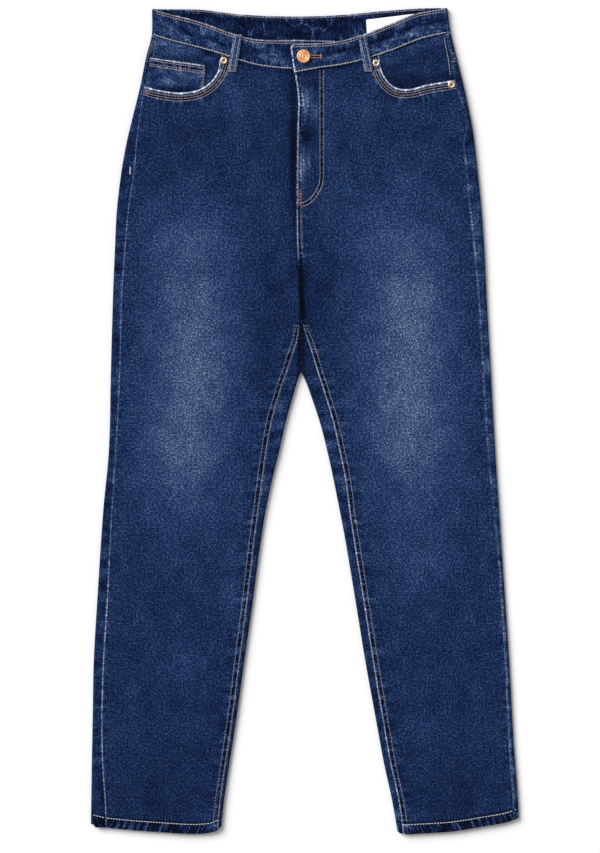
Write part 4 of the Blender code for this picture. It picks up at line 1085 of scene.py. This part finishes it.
def back_pocket(leg):
    start = leg.way * CENTRE_BACK + BACK_POCKET_INNER
    (_, a), (_, b), (foot_out, c), (tip_share, tip), (foot_in, d) = BACK_POCKET[1:]
    grid = []
    for share_down in shares(50):
        row = []
        for share in shares(44):
            across = mix(share, mix(foot_in, foot_out, share), share_down)
            top = mix(a, b, share)
            if share < tip_share:
                low = mix(d, tip, share / tip_share)
            else:
                low = mix(tip, c, (share - tip_share) / (1 - tip_share))
            down = mix(top, low, share_down)
            soft = max(0.0, 0.5 * crumple(across * BACK_POCKET_WIDE, down, 50))
            soft *= ease(min(share, 1 - share) * 8)
            row.append((leg.way * (start + across * BACK_POCKET_WIDE), down, min(soft, 0.25)))
        grid.append(row)
    return grid


for side, leg in LEGS.items():
    name = f"back_pocket_{side}"
    piece = cloth(f"{name}_denim", back_pocket(leg), CLOTH, washed_denim, side == "right", 0,
                  lambda which, *at: (0.7, *BAND_HEM), lambda across, down: 0.04)
    pieces[name] = piece
    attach(piece, "root")
    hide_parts(name)

# ------------------------------------------------------------------ the belt loops
# Five strips of folded denim, sewn down at both ends. The front two stand a little off the band, and
# the back three lie flat under it.

LOOP_WIDE, LOOP_CLOTH, LOOP_EDGE = 10.5, 1.4, (3.6, 1.2, 0.5)
FRONT_LOOPS = (
    ("name", "top_across", "top_down", "foot_across", "foot_down"),
    ("belt_loop_front_right", -83.5, 34.6, -90.6, 81.5),
    ("belt_loop_front_left", 71.0, 35.4, 79.6, 81.0),
)
BACK_LOOPS = (("name", "across"), ("belt_loop_back_right", -112.0), ("belt_loop_centre_back", CENTRE_BACK),
              ("belt_loop_back_left", 100.0))


def front_loop(row, side):
    front_up, grid = fronts_up[side], []
    for share in shares(30):
        across = mix(row["top_across"], row["foot_across"], share)
        down = mix(row["top_down"], row["foot_down"], share)
        seam = bands[side][1](across)
        on_band, on_front = band_ups[side](across) + 0.1, front_up(across, down)
        rest = on_band if down <= seam else max(mix(on_band, on_front, ease((down - seam - 1) / 6)), on_front)
        up = rest + GAP + LOOP_CLOTH + 0.9 * math.sin(math.pi * share)
        line = []
        for aside in shares(6):
            crown = 0.35 * math.sin(math.pi * aside) - 0.12
            line.append((across + LOOP_WIDE * (aside - 0.5), down, up + crown))
        grid.append(line)
    return grid


def back_loop_ends(across):
    return bands["back"][0](across), bands["back"][1](across) + 11


def back_loop(across):
    top, foot = back_loop_ends(across)
    return [[(across + LOOP_WIDE * (aside - 0.5), mix(top, foot, share), 0.0) for aside in shares(5)]
            for share in shares(20)]


for row, side in zip(rows_of(FRONT_LOOPS), ("right", "left")):
    name = row["name"]
    pieces[name] = cloth(f"{name}_denim", front_loop(row, side), LOOP_CLOTH, washed_denim, True, 0,
                         lambda which, *at: (0.45, *LOOP_EDGE), lambda across, down: 0.10)
for row in rows_of(BACK_LOOPS):
    name = row["name"]
    pieces[name] = cloth(f"{name}_denim", back_loop(row["across"]), SEAT_LIFT - GAP, washed_denim, False, 0,
                         lambda which, *at: (0.55, *LOOP_EDGE), lambda across, down: -0.02)
for row in (*rows_of(FRONT_LOOPS), *rows_of(BACK_LOOPS)):
    piece = pieces[row["name"]]
    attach(piece, "root")
    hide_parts(row["name"])

# ------------------------------------------------------------------ the zip and the label
# The zip lies hidden between the fly and the underlap, so it stays plain tape. The label is a bare,
# folded strip of white woven polyester, sewn inside the back of the waistband.

tape, shader = new_material("woven_zip_tape", Roughness=0.8)
tree = tape.node_tree
spot = node(tree, "TexCoord", out="Object")
weave = node(tree, "TexNoise", spot, Scale=1 / 0.001, Detail=1.0)
tint = node(tree, "Mix", weave, data_type="RGBA", out=2)
tint.node.inputs[6].default_value, tint.node.inputs[7].default_value = colour("#0B1228"), colour("#1B2547")
tree.links.new(tint, shader.inputs["Base Color"])
zip_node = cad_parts["zip"]
zip_node.data.materials.clear()
zip_node.data.materials.append(tape)

LABEL = (("corner", "across", "down"), ("top_inner", 76.4, 15.6), ("top_outer", 138.0, 8.0),
         ("bottom_outer", 140.5, 29.5), ("bottom_inner", 77.6, 37.5))
LABEL_UP, LABEL_CLOTH = 5.2, 1.0


def label_grid():
    corners = corners_of(LABEL)
    grid = []
    for share_down in shares(12):
        row = []
        for share in shares(30):
            across, down = within(corners, share, share_down)
            row.append((across, down, LABEL_UP + 0.12 * noise.noise(Vector((across / 12, down / 9, 4)))))
        grid.append(row)
    return grid


woven, shader = new_material("white_woven_polyester", Roughness=0.6, Sheen_Weight=0.2)
tree = woven.node_tree
flat = node(tree, "UVMap", uv_map="flat")
weave = node(tree, "TexWave", flat, Scale=0.314 / 0.0012, Distortion=0.5, bands_direction="X", out="Fac")
tint = node(tree, "Mix", weave, data_type="RGBA", out=2)
tint.node.inputs[6].default_value, tint.node.inputs[7].default_value = colour("#EDEDEE"), colour("#FCFCFD")
tree.links.new(tint, shader.inputs["Base Color"])
ribs = node(tree, "Bump", Height=weave, Strength=0.3, Distance=0.0002)
tree.links.new(ribs, shader.inputs["Normal"])
label = cloth("label_cloth", label_grid(), LABEL_CLOTH, woven)
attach(label, "root")
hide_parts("label")

# ------------------------------------------------------------------ the stitching
# Thick tan topstitching, in real stitches of cotton-wrapped thread that sink at both ends, brown bar
# tacks where a seam is strained, and an orange buttonhole. Each group is one joined piece.

STITCH, FINE_STITCH, INSEAM_STITCH, THREAD = 3.6, 2.9, 4.0, 0.85
POCKET_ROWS, FLY_ROWS = (4.6, 7.6, 10.6), (-2.1, 2.1)


def thread_finish(name, dark, light):
    made, shader = new_material(name, Roughness=0.6, Sheen_Weight=0.3)
    tree = made.node_tree
    spot = node(tree, "TexCoord", out="Object")
    worn = node(tree, "TexNoise", spot, Scale=1 / 0.004, Detail=2.0, Roughness=0.7)
    tint = node(tree, "Mix", worn, data_type="RGBA", out=2)
    tint.node.inputs[6].default_value, tint.node.inputs[7].default_value = colour(dark), colour(light)
    tree.links.new(tint, shader.inputs["Base Color"])
    return made


tan_thread = thread_finish("tan_cotton_thread", "#7C6563", "#CDB8AE")
dark_thread = thread_finish("dark_tan_cotton_thread", "#544C56", "#9C9192")
pale_thread = thread_finish("faded_tan_cotton_thread", "#A59C9A", "#E4DEDA")
brown_thread = thread_finish("brown_cotton_thread", "#6B4138", "#BC876C")
orange_thread = thread_finish("orange_cotton_thread", "#A86A40", "#EBB58A")


def beside(line, away):
    """A line of places moved sideways, to the left of its way along the garment as drawn."""
    moved = []
    for k, (across, down) in enumerate(line):
        a, b = line[max(k - 1, 0)], line[min(k + 1, len(line) - 1)]
        length = math.dist(a, b) or 1.0
        moved.append((across + (b[1] - a[1]) / length * away, down - (b[0] - a[0]) / length * away))
    return moved


def stitched(line, pitch=STITCH, gap=0.18):
    """The two ends of each stitch along a line of places."""
    far = travel(line, range(len(line)))
    count = max(1, round(far[-1] / pitch))

    def at(length):
        k = min(max(bisect.bisect_right(far, length) - 1, 0), len(far) - 2)
        share = (length - far[k]) / ((far[k + 1] - far[k]) or 1.0)
        return tuple(mix(a, b, share) for a, b in zip(line[k], line[k + 1]))

    step = far[-1] / count
    return [(at((k + gap / 2) * step), at((k + 1 - gap / 2) * step)) for k in range(count)]


def bar_tack(start, end, width):
    """Close zigzag stitches across a short bar."""
    length = math.dist(start, end)
    side = ((end[1] - start[1]) / length * width / 2, -(end[0] - start[0]) / length * width / 2)
    found = []
    for share in shares(max(3, round(length / 0.75))):
        middle = tuple(mix(a, b, share) for a, b in zip(start, end))
        found.append(((middle[0] - side[0], middle[1] - side[1]), (middle[0] + side[0], middle[1] + side[1])))
    return found


def sewn(name, stitches, on, finish, width=THREAD, from_below=False):
    """Lays each stitch on the cloth as a small rounded bridge, and joins them all. Below, where the weight
    of the garment presses them in, they stand out less."""
    bm_all = bmesh.new()
    for cloth_piece in on:
        bm_all.from_mesh(cloth_piece.data)
    tree = BVHTree.FromBMesh(bm_all)
    bm_all.free()
    way, sunk = (-1, 0.58) if from_below else (1, 0.0)
    profile = ((0.0, 0.30, -0.30), (0.14, 0.85, 0.22), (0.5, 1.0, 0.38), (0.86, 0.85, 0.22),
               (1.0, 0.30, -0.30))
    bm = bmesh.new()
    for start, end in stitches:
        rings = []
        for share, wide, high in profile:
            spot = [mix(a, b, share) for a, b in zip(start, end)]
            hit, normal, *_ = tree.ray_cast(place(*spot, 40 * way), Vector((0, 0, -way)))
            if hit is None:
                break
            along = (place(*end, 0) - place(*start, 0)).normalized()
            beside_it = along.cross(normal).normalized()
            middle = hit + normal * (high - sunk) * width * MM
            ring = []
            for turn in (math.radians(72 * k + 18) for k in range(5)):
                outwards = beside_it * math.cos(turn) + normal * math.sin(turn) * 0.8
                ring.append(bm.verts.new(middle + outwards * wide * width / 2 * MM))
            rings.append(ring)
        if len(rings) < len(profile):
            for ring in rings:
                for vert in ring:
                    bm.verts.remove(vert)
            continue
        for a, b in zip(rings, rings[1:]):
            for k in range(5):
                bm.faces.new((a[k], a[(k + 1) % 5], b[(k + 1) % 5], b[k]))
        bm.faces.new(reversed(rings[0]))
        bm.faces.new(rings[-1])
    bmesh.ops.recalc_face_normals(bm, faces=bm.faces[:])
    for face in bm.faces:
        face.smooth = True
    mesh = bpy.data.meshes.new(name)
    bm.to_mesh(mesh)
    bm.free()
    mesh.materials.append(finish)
    piece = bpy.data.objects.new(name, mesh)
    bpy.context.scene.collection.objects.link(piece)
    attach(piece, "root")
    return piece


def fine_rows(line, offsets):
    return [stitch for away in offsets for stitch in stitched(beside(line, away), FINE_STITCH)]


def centre_rows(start, end, away):
    return fine_rows([(centre_front(down), down) for down in steps(start, end, 6)], [away])


def hem_row(leg, outs):
    return stitched([(leg.way * out, leg.hem_at(out) - HEM_DEEP + 1) for out in outs])


for side, leg in LEGS.items():
    way = leg.way
    line = [route(openings[side])(share) for share in shares(40)]
    rows = fine_rows(line, [way * away for away in POCKET_ROWS])
    inseam = [(way * leg.inseam(down), down) for down in steps(CROTCH_DOWN + 2, HEM_ROW - HEM_DEEP - 2, 8)]
    inner_rows = stitched(beside(inseam, way * 1.5), INSEAM_STITCH)
    second = [(across + way * (1.5 + 5.5 * ease((down - 375) / 45)), down) for across, down in inseam]
    inner_rows += stitched(second, INSEAM_STITCH)
    side_rows = hem_row(leg, (leg.outer(1000) - 3, leg.side_seam(1010) + 1))
    if side == "right":
        side_rows += bar_tack((-218, 199.5), (-218, 208.5), 1.6)
    sewn(f"stitching_side_{side}", side_rows, [pieces[f"back_{side}"]], pale_thread, 1.1)
    hem_rows = hem_row(leg, steps(leg.side_seam(1010) - 2, leg.inseam(1010) + 2, 6))
    sewn(f"stitching_hem_{side}", hem_rows, [pieces[f"front_{side}"]], pale_thread, 1.1)
    if side == "left":
        curved = next(k for k, spot in enumerate(fly_line) if spot[1] > 214)
        inner_rows += fine_rows(fly_line[:curved + 1], FLY_ROWS)
        rows += fine_rows(fly_line[curved:], FLY_ROWS)
        inner_rows += centre_rows(150, 232, 2.4)
        rows += centre_rows(254, 306, 1.6)
        inner_rows += centre_rows(254, 302, 5.6)
    sewn(f"stitching_front_{side}", rows, [pieces[f"front_{side}"]], tan_thread)
    sewn(f"stitching_inseam_{side}", inner_rows, [pieces[f"front_{side}"]], dark_thread)
    foot = 60 if side == "right" else 84
    seam = [(way * leg.side_seam(down), down) for down in steps(bands[side][1](way * 172) + 3, foot, 6)]
    rows = fine_rows(seam, [-way * POCKET_ROWS[0]])
    sewn(f"stitching_facing_{side}", rows, [pieces[f"pocket_facing_{side}"], pieces["coin_pocket"]],
         pale_thread if side == "left" else dark_thread, 0.7)

band_rows, lower_rows = [], []
for side in ("left", "right"):
    start, end = (TAB_TOP + 3, 176) if side == "left" else (UNDERLAP_END - 2, -186)
    hidden = start if side == "left" else TAB_BOTTOM - 3
    for edge_at, down_by, start in ((0, 1.4, start), (0, 4.0, hidden), (1, -1.3, hidden)):
        line = [(across, bands[side][edge_at](across) + down_by) for across in steps(start, end, 6)]
        (lower_rows if edge_at else band_rows).extend(stitched(line, gap=0.12))
sewn("stitching_waistband", band_rows, [waistband], tan_thread, 0.95)
sewn("stitching_waistband_lower", lower_rows, [waistband], pale_thread, 1.05)
inside = stitched([(across, bands["back"][0](across) + 2.0) for across in steps(-150, 150, 8)])
sewn("stitching_waistband_inside", inside, [waistband], tan_thread)
under = []
for edge_at, down_by in ((0, 1.8), (1, -2.4)):
    under += stitched([(across, bands["back"][edge_at](across) + down_by) for across in steps(-182, 170, 8)])
sewn("stitching_waistband_under", under, [waistband], tan_thread, from_below=True)

corners = corners_of(COIN_POCKET)
(start, start_down), (end, end_down) = corners["top_side"], corners["top_inner"]
coin_rows = []
for away in (1.4, 3.8, 8.2, 10.6):
    coin_rows += stitched([(start + 2.5, start_down + away), (end - 2, end_down + away)], FINE_STITCH)
foot = corners["bottom_inner"][0]
coin_rows += stitched([(end - 1.6, end_down + 2), (foot - 1.6, 112)], FINE_STITCH)
sewn("stitching_coin_pocket", coin_rows, [pieces["coin_pocket"]], tan_thread)

loop_rows, loop_tacks = [], []
for row in rows_of(FRONT_LOOPS):
    top, foot = (row["top_across"], row["top_down"]), (row["foot_across"], row["foot_down"])
    for aside in (-2.6, 2.6):
        loop_rows += stitched([(top[0] + aside, top[1] + 3), (foot[0] + aside, foot[1] - 4)], FINE_STITCH)
    for (x, y), shifts in ((top, (2.4,)), (foot, (-3.4, -1.2))):
        for shift in shifts:
            loop_tacks += stitched([(x - 4.6, y + shift), (x + 4.6, y + shift)], 1.6, 0.1)
fronts = [pieces["belt_loop_front_right"], pieces["belt_loop_front_left"]]
sewn("stitching_front_loops", loop_rows, fronts, pale_thread, 0.65)
sewn("bar_tacks_front_loops", loop_tacks, fronts, tan_thread, 0.9)

for side, leg in LEGS.items():
    way = leg.way
    start = way * CENTRE_BACK + BACK_POCKET_INNER
    outline = [(way * (start + inner * BACK_POCKET_WIDE), down) for inner, down in BACK_POCKET[1:]]
    a, b, c, tip, d = outline
    middle = (sum(p[0] for p in outline) / 5, sum(p[1] for p in outline) / 5)
    rows = []
    for inset in (2.0, 7.0):
        scale = 1 - inset / 66
        drawn = [tuple(mix(m, p, scale) for m, p in zip(middle, point)) for point in (a, d, tip, c, b)]
        rows += [s for p, q in zip(drawn, drawn[1:]) for s in stitched([p, q])]
    for below in (4, 20):
        rows += stitched([(a[0] + way * 2, a[1] + below), (b[0] - way * 2, b[1] + below)])
    sewn(f"stitching_back_pocket_{side}", rows, [pieces[f"back_pocket_{side}"]], tan_thread, from_below=True)
    outs = steps(leg.outer(70) - 6, way * CENTRE_BACK + 4, 8)
    rows = []
    for above in (2.0, 5.5):
        rows += stitched([(way * out, yoke_seam(way * out) - above) for out in outs])
    sewn(f"stitching_yoke_{side}", rows, [pieces[f"yoke_{side}"]], tan_thread, from_below=True)
    rows = stitched([(CENTRE_BACK + way * 2.4, down) for down in steps(112, 440, 10)])
    rows += hem_row(leg, steps(leg.outer(1000) - 6, leg.inner(1000) + 6, 6))
    sewn(f"stitching_back_{side}", rows, [pieces[f"back_{side}"]], tan_thread, from_below=True)
under_loops = [pieces[row["name"]] for row in rows_of(BACK_LOOPS)]
rows = []
for row in rows_of(BACK_LOOPS):
    across = row["across"]
    top, foot = back_loop_ends(across)
    for aside in (-3.4, 3.4):
        rows += stitched([(across + aside, top + 1), (across + aside, foot - 1)])
sewn("stitching_back_loops", rows, under_loops, tan_thread, from_below=True)

ends = []
for leg in LEGS.values():
    for down in (58.5, 65.2, 68.4):
        start, end = leg.side_seam(down) + 0.8, leg.outer(down) - 2
        ends += stitched([(leg.way * start, down), (leg.way * end, down - 1)], 2.2)
yokes_and_backs = [pieces[f"{name}_{side}"] for name in ("yoke", "back") for side in LEGS]
sewn("stitching_yoke_ends", ends, yokes_and_backs, tan_thread)

tacks = []
for x, top, foot, wide, count in ((-6.4, 229, 247.5, 3.4, 5), (-197.4, 101.4, 109.4, 2.6, 4)):
    for aside in (-wide / 2, wide / 2):
        tacks += stitched([(x + aside, top), (x + aside, foot)], 2.4, 0.05)
    tacks += [((x - wide / 2, down), (x + wide / 2, down)) for down in steps(top, foot, (foot - top) / count)]
sewn("bar_tacks_fronts", tacks, [pieces["front_left"], pieces["front_right"]], brown_thread, 0.75)
worked = []
for turn in range(30, 331, 15):
    cos, sin = math.cos(math.radians(turn)), math.sin(math.radians(turn))
    worked.append(tuple((BUTTON_ACROSS + r * cos, BUTTON_DOWN + r * sin) for r in (3.1, 5.0)))
for across in steps(2, BUTTONHOLE_END, 0.8):
    reach = 1.9 + 0.5 * noise.noise(Vector((across / 1.5, 0, 3)))
    worked += [((across, BUTTON_DOWN + s * 0.3), (across, BUTTON_DOWN + s * reach)) for s in (-1, 1)]
worked += bar_tack((BUTTONHOLE_END + 0.4, BUTTON_DOWN - 2.6), (BUTTONHOLE_END + 0.4, BUTTON_DOWN + 2.2), 1.8)
sewn("buttonhole_stitching", worked, [waistband], orange_thread, 0.7)

# ------------------------------------------------------------------ how the cloth was cut
# The width and length of the cut of each piece as it shows, its area where that isn't a rectangle, what
# it lies on, and what is sewn to it. Turnings inside the seams aren't counted.

CUTS = (
    ("name", "width", "length", "area", "lies_on", "sewn_to_it"),
    ("front_left", 0.231, 0.972, 0.179, "back_left",
     ("stitching_front_left", "stitching_inseam_left", "stitching_hem_left", "bar_tacks_fronts")),
    ("front_right", 0.244, 0.972, 0.183, "back_right",
     ("stitching_front_right", "stitching_inseam_right", "stitching_hem_right")),
    ("back_left", 0.279, 0.970, 0.209, "back_pocket_left",
     ("stitching_back_left", "stitching_side_left")),
    ("back_right", 0.277, 0.970, 0.214, "back_pocket_right",
     ("stitching_back_right", "stitching_side_right")),
    ("yoke_left", 0.210, 0.074, 0.0091, "belt_loop_back_left",
     ("stitching_yoke_left", "stitching_yoke_ends")),
    ("yoke_right", 0.207, 0.071, 0.0089, "belt_loop_back_right", ("stitching_yoke_right",)),
    ("waistband", 0.822, 0.035, None, "belt_loop_centre_back",
     ("stitching_waistband", "stitching_waistband_lower", "stitching_waistband_inside",
      "stitching_waistband_under", "buttonhole_stitching")),
    ("pocket_facing_left", 0.151, 0.089, 0.0075, "back_left", ("stitching_facing_left",)),
    ("pocket_facing_right", 0.151, 0.090, 0.0077, "back_right", ("stitching_facing_right",)),
    ("coin_pocket", 0.076, 0.054, 0.0037, "pocket_facing_right", ("stitching_coin_pocket",)),
    ("back_pocket_left", 0.124, 0.162, 0.0171, "floor", ("stitching_back_pocket_left",)),
    ("back_pocket_right", 0.124, 0.162, 0.0171, "floor", ("stitching_back_pocket_right",)),
    ("belt_loop_front_left", 0.0105, 0.046, None, "waistband", ()),
    ("belt_loop_front_right", 0.0105, 0.047, None, "waistband",
     ("stitching_front_loops", "bar_tacks_front_loops")),
    ("belt_loop_back_left", 0.0105, 0.046, None, "floor", ()),
    ("belt_loop_centre_back", 0.0105, 0.046, None, "floor", ("stitching_back_loops",)),
    ("belt_loop_back_right", 0.0105, 0.046, None, "floor", ()),
)
for row in rows_of(CUTS):
    [bpy.data.objects[name] for name in row["sewn_to_it"]]

# ------------------------------------------------------------------ the button and the rivets
# Stamped copper-plated steel, with plain rings: a tack button whose shank goes through the buttonhole,
# and three small rivets through the corners of the pockets, one of them worn down to the nickel.

BUTTON_RADIUS, BUTTON_THICK, SHANK_RADIUS = 8.5, 1.3, 2.2
RIVET_RADIUS, RIVET_THICK, NAIL_RADIUS = 4.4, 0.7, 1.5


def metal(name, hexed, dark, roughness):
    made, shader = new_material(name, Metallic=1.0, Roughness=roughness)
    tree = made.node_tree
    spot = node(tree, "TexCoord", out="Object")
    tarnish = node(tree, "TexNoise", spot, Scale=1 / 0.003, Detail=3.0)
    tint = node(tree, "Mix", tarnish, data_type="RGBA", out=2)
    tint.node.inputs[6].default_value, tint.node.inputs[7].default_value = colour(dark), colour(hexed)
    tree.links.new(tint, shader.inputs["Base Color"])
    dents = node(tree, "Bump", Height=tarnish, Strength=0.25, Distance=0.0002)
    tree.links.new(dents, shader.inputs["Normal"])
    return made


copper = metal("brushed_copper_plate", "#F8C296", "#D9935F", 0.56)
worn_copper = metal("worn_copper_plate", "#F6E6D2", "#CBAE8E", 0.46)
nickel = metal("worn_nickel_plate", "#F6F0E6", "#B8B0A4", 0.46)


def stamped(name, radius, across, down, up, thickness, steps_in, finish):
    """A disc whose face is inset and pushed up or down, ring by ring, as a stamp forms it."""
    bpy.ops.object.select_all(action="DESELECT")
    bpy.ops.mesh.primitive_cylinder_add(vertices=56, radius=radius * MM, depth=thickness * MM,
                                        location=place(across, down, up + thickness / 2))
    made = bpy.context.object
    made.name = name
    bpy.ops.object.transform_apply(location=True, rotation=True, scale=True)
    bpy.ops.object.mode_set(mode="EDIT")
    bm = bmesh.from_edit_mesh(made.data)
    for face in bm.faces:
        face.select_set(face.normal.z > 0.9)
    bmesh.update_edit_mesh(made.data)
    for inset, rise in steps_in:
        bpy.ops.mesh.inset(thickness=inset * MM, depth=0)
        bpy.ops.transform.translate(value=(0, 0, rise * MM))
    bpy.ops.mesh.select_all(action="SELECT")
    bpy.ops.mesh.normals_make_consistent(inside=False)
    bpy.ops.object.mode_set(mode="OBJECT")
    made.data.materials.append(finish)
    bpy.ops.object.shade_smooth_by_angle(angle=math.radians(50))
    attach(made, "root")
    return made


tab_up = LEFT_BAND_UP[1][1]
rings = ((0.35, 0.45), (0.5, 0.35), (0.6, 0.15), (0.7, -0.1), (0.35, -0.25), (0.9, 0.0), (0.3, 0.3),
         (0.5, 0.1), (0.3, -0.35), (1.2, -0.05), (1.0, 0.0), (0.3, 0.2), (0.5, 0.06), (0.3, -0.2))
button = stamped("waist_button", BUTTON_RADIUS, BUTTON_ACROSS, BUTTON_DOWN, tab_up + GAP, BUTTON_THICK,
                 rings, copper)
shank_top, shank_low = tab_up + 1, RIGHT_BAND_UP[-1][1]
bpy.ops.object.select_all(action="DESELECT")
bpy.ops.mesh.primitive_cylinder_add(
    vertices=24, radius=SHANK_RADIUS * MM, depth=(shank_top - shank_low - GAP) * MM,
    location=place(BUTTON_ACROSS, BUTTON_DOWN, (shank_top + shank_low + GAP) / 2),
)
shank = bpy.context.object
shank.data.materials.append(copper)
bpy.ops.object.transform_apply(location=True, rotation=True, scale=True)
button.select_set(True)
bpy.context.view_layer.objects.active = button
bpy.ops.object.join()
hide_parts("button")

RIVETS = (("name", "across", "down"), ("rivet_right_pocket", -101.2, 66.8),
          ("rivet_left_pocket_inner", 88.6, 70.0), ("rivet_left_pocket_side", 182.6, 97.0))
rivet_rings = ((0.3, 0.35), (0.5, 0.3), (0.9, 0.0), (0.5, -0.35), (0.25, -0.6), (0.6, 0.0))
# The middle of each rivet is a dark nail end, which also stands in as painted shade for the hollow there.
nail_end_and_shade = new_material("dark_nail_end_and_painted_shade", Metallic=1.0, Roughness=0.6, Base_Color=colour("#4A3826"))[0]
for row in rows_of(RIVETS):
    silvery = row["name"].endswith("inner")
    up = laid_height(row["down"]) + creases(row["across"], row["down"]) + GAP
    rivet = stamped(f"{row['name']}_stamped", RIVET_RADIUS, row["across"], row["down"], up, RIVET_THICK,
                    rivet_rings, nickel if silvery else worn_copper)
    rivet.data.materials.append(nail_end_and_shade)
    middle = place(row["across"], row["down"], 0)
    for face in rivet.data.polygons:
        if face.normal.z > 0.9 and (face.center - middle).xy.length < NAIL_RADIUS * MM:
            face.material_index = 1
    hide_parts(row["name"])

# ------------------------------------------------------------------ the studio
# A plain pale floor, soft light from the upper left, and the camera straight above.

bpy.ops.object.select_all(action="DESELECT")
bpy.ops.mesh.primitive_plane_add(size=60, location=(0, 0, -0.0002))
floor = bpy.context.object
floor.name = "floor"
bpy.ops.object.transform_apply(location=True, rotation=True, scale=True)
paper, shader = new_material("matt_white_paper", Roughness=0.9)
shader.inputs["Base Color"].default_value = colour("#F4F4F4")
floor.data.materials.append(paper)

world = bpy.data.worlds.new("studio")
world.use_nodes = True
world.node_tree.nodes["Background"].inputs["Color"].default_value = colour("#FFFFFF")
world.node_tree.nodes["Background"].inputs["Strength"].default_value = 0.42
bpy.context.scene.world = world
data = bpy.data.lights.new("key", "SUN")
data.energy, data.angle = 3.8, math.radians(40)
key = bpy.data.objects.new("key", data)
key.rotation_euler = Vector((1.0, -0.85, -0.95)).to_track_quat("-Z", "Y").to_euler()
bpy.context.scene.collection.objects.link(key)

HIGH, ACROSS, PIXEL, TOP_PIXEL, MIDDLE_PIXEL, PHOTO_HEIGHT = 3.0, -6.25, 1.25, 8, 426.5, 853
data = bpy.data.cameras.new("camera")
camera = bpy.data.objects.new("camera", data)
bpy.context.scene.collection.objects.link(camera)
camera.location = (*place(ACROSS, (MIDDLE_PIXEL - TOP_PIXEL) * PIXEL, 0).xy, HIGH)
data.lens = 36 * HIGH / (PHOTO_HEIGHT * PIXEL * MM)
bpy.context.scene.camera = camera
bpy.context.scene.view_settings.view_transform = "Standard"
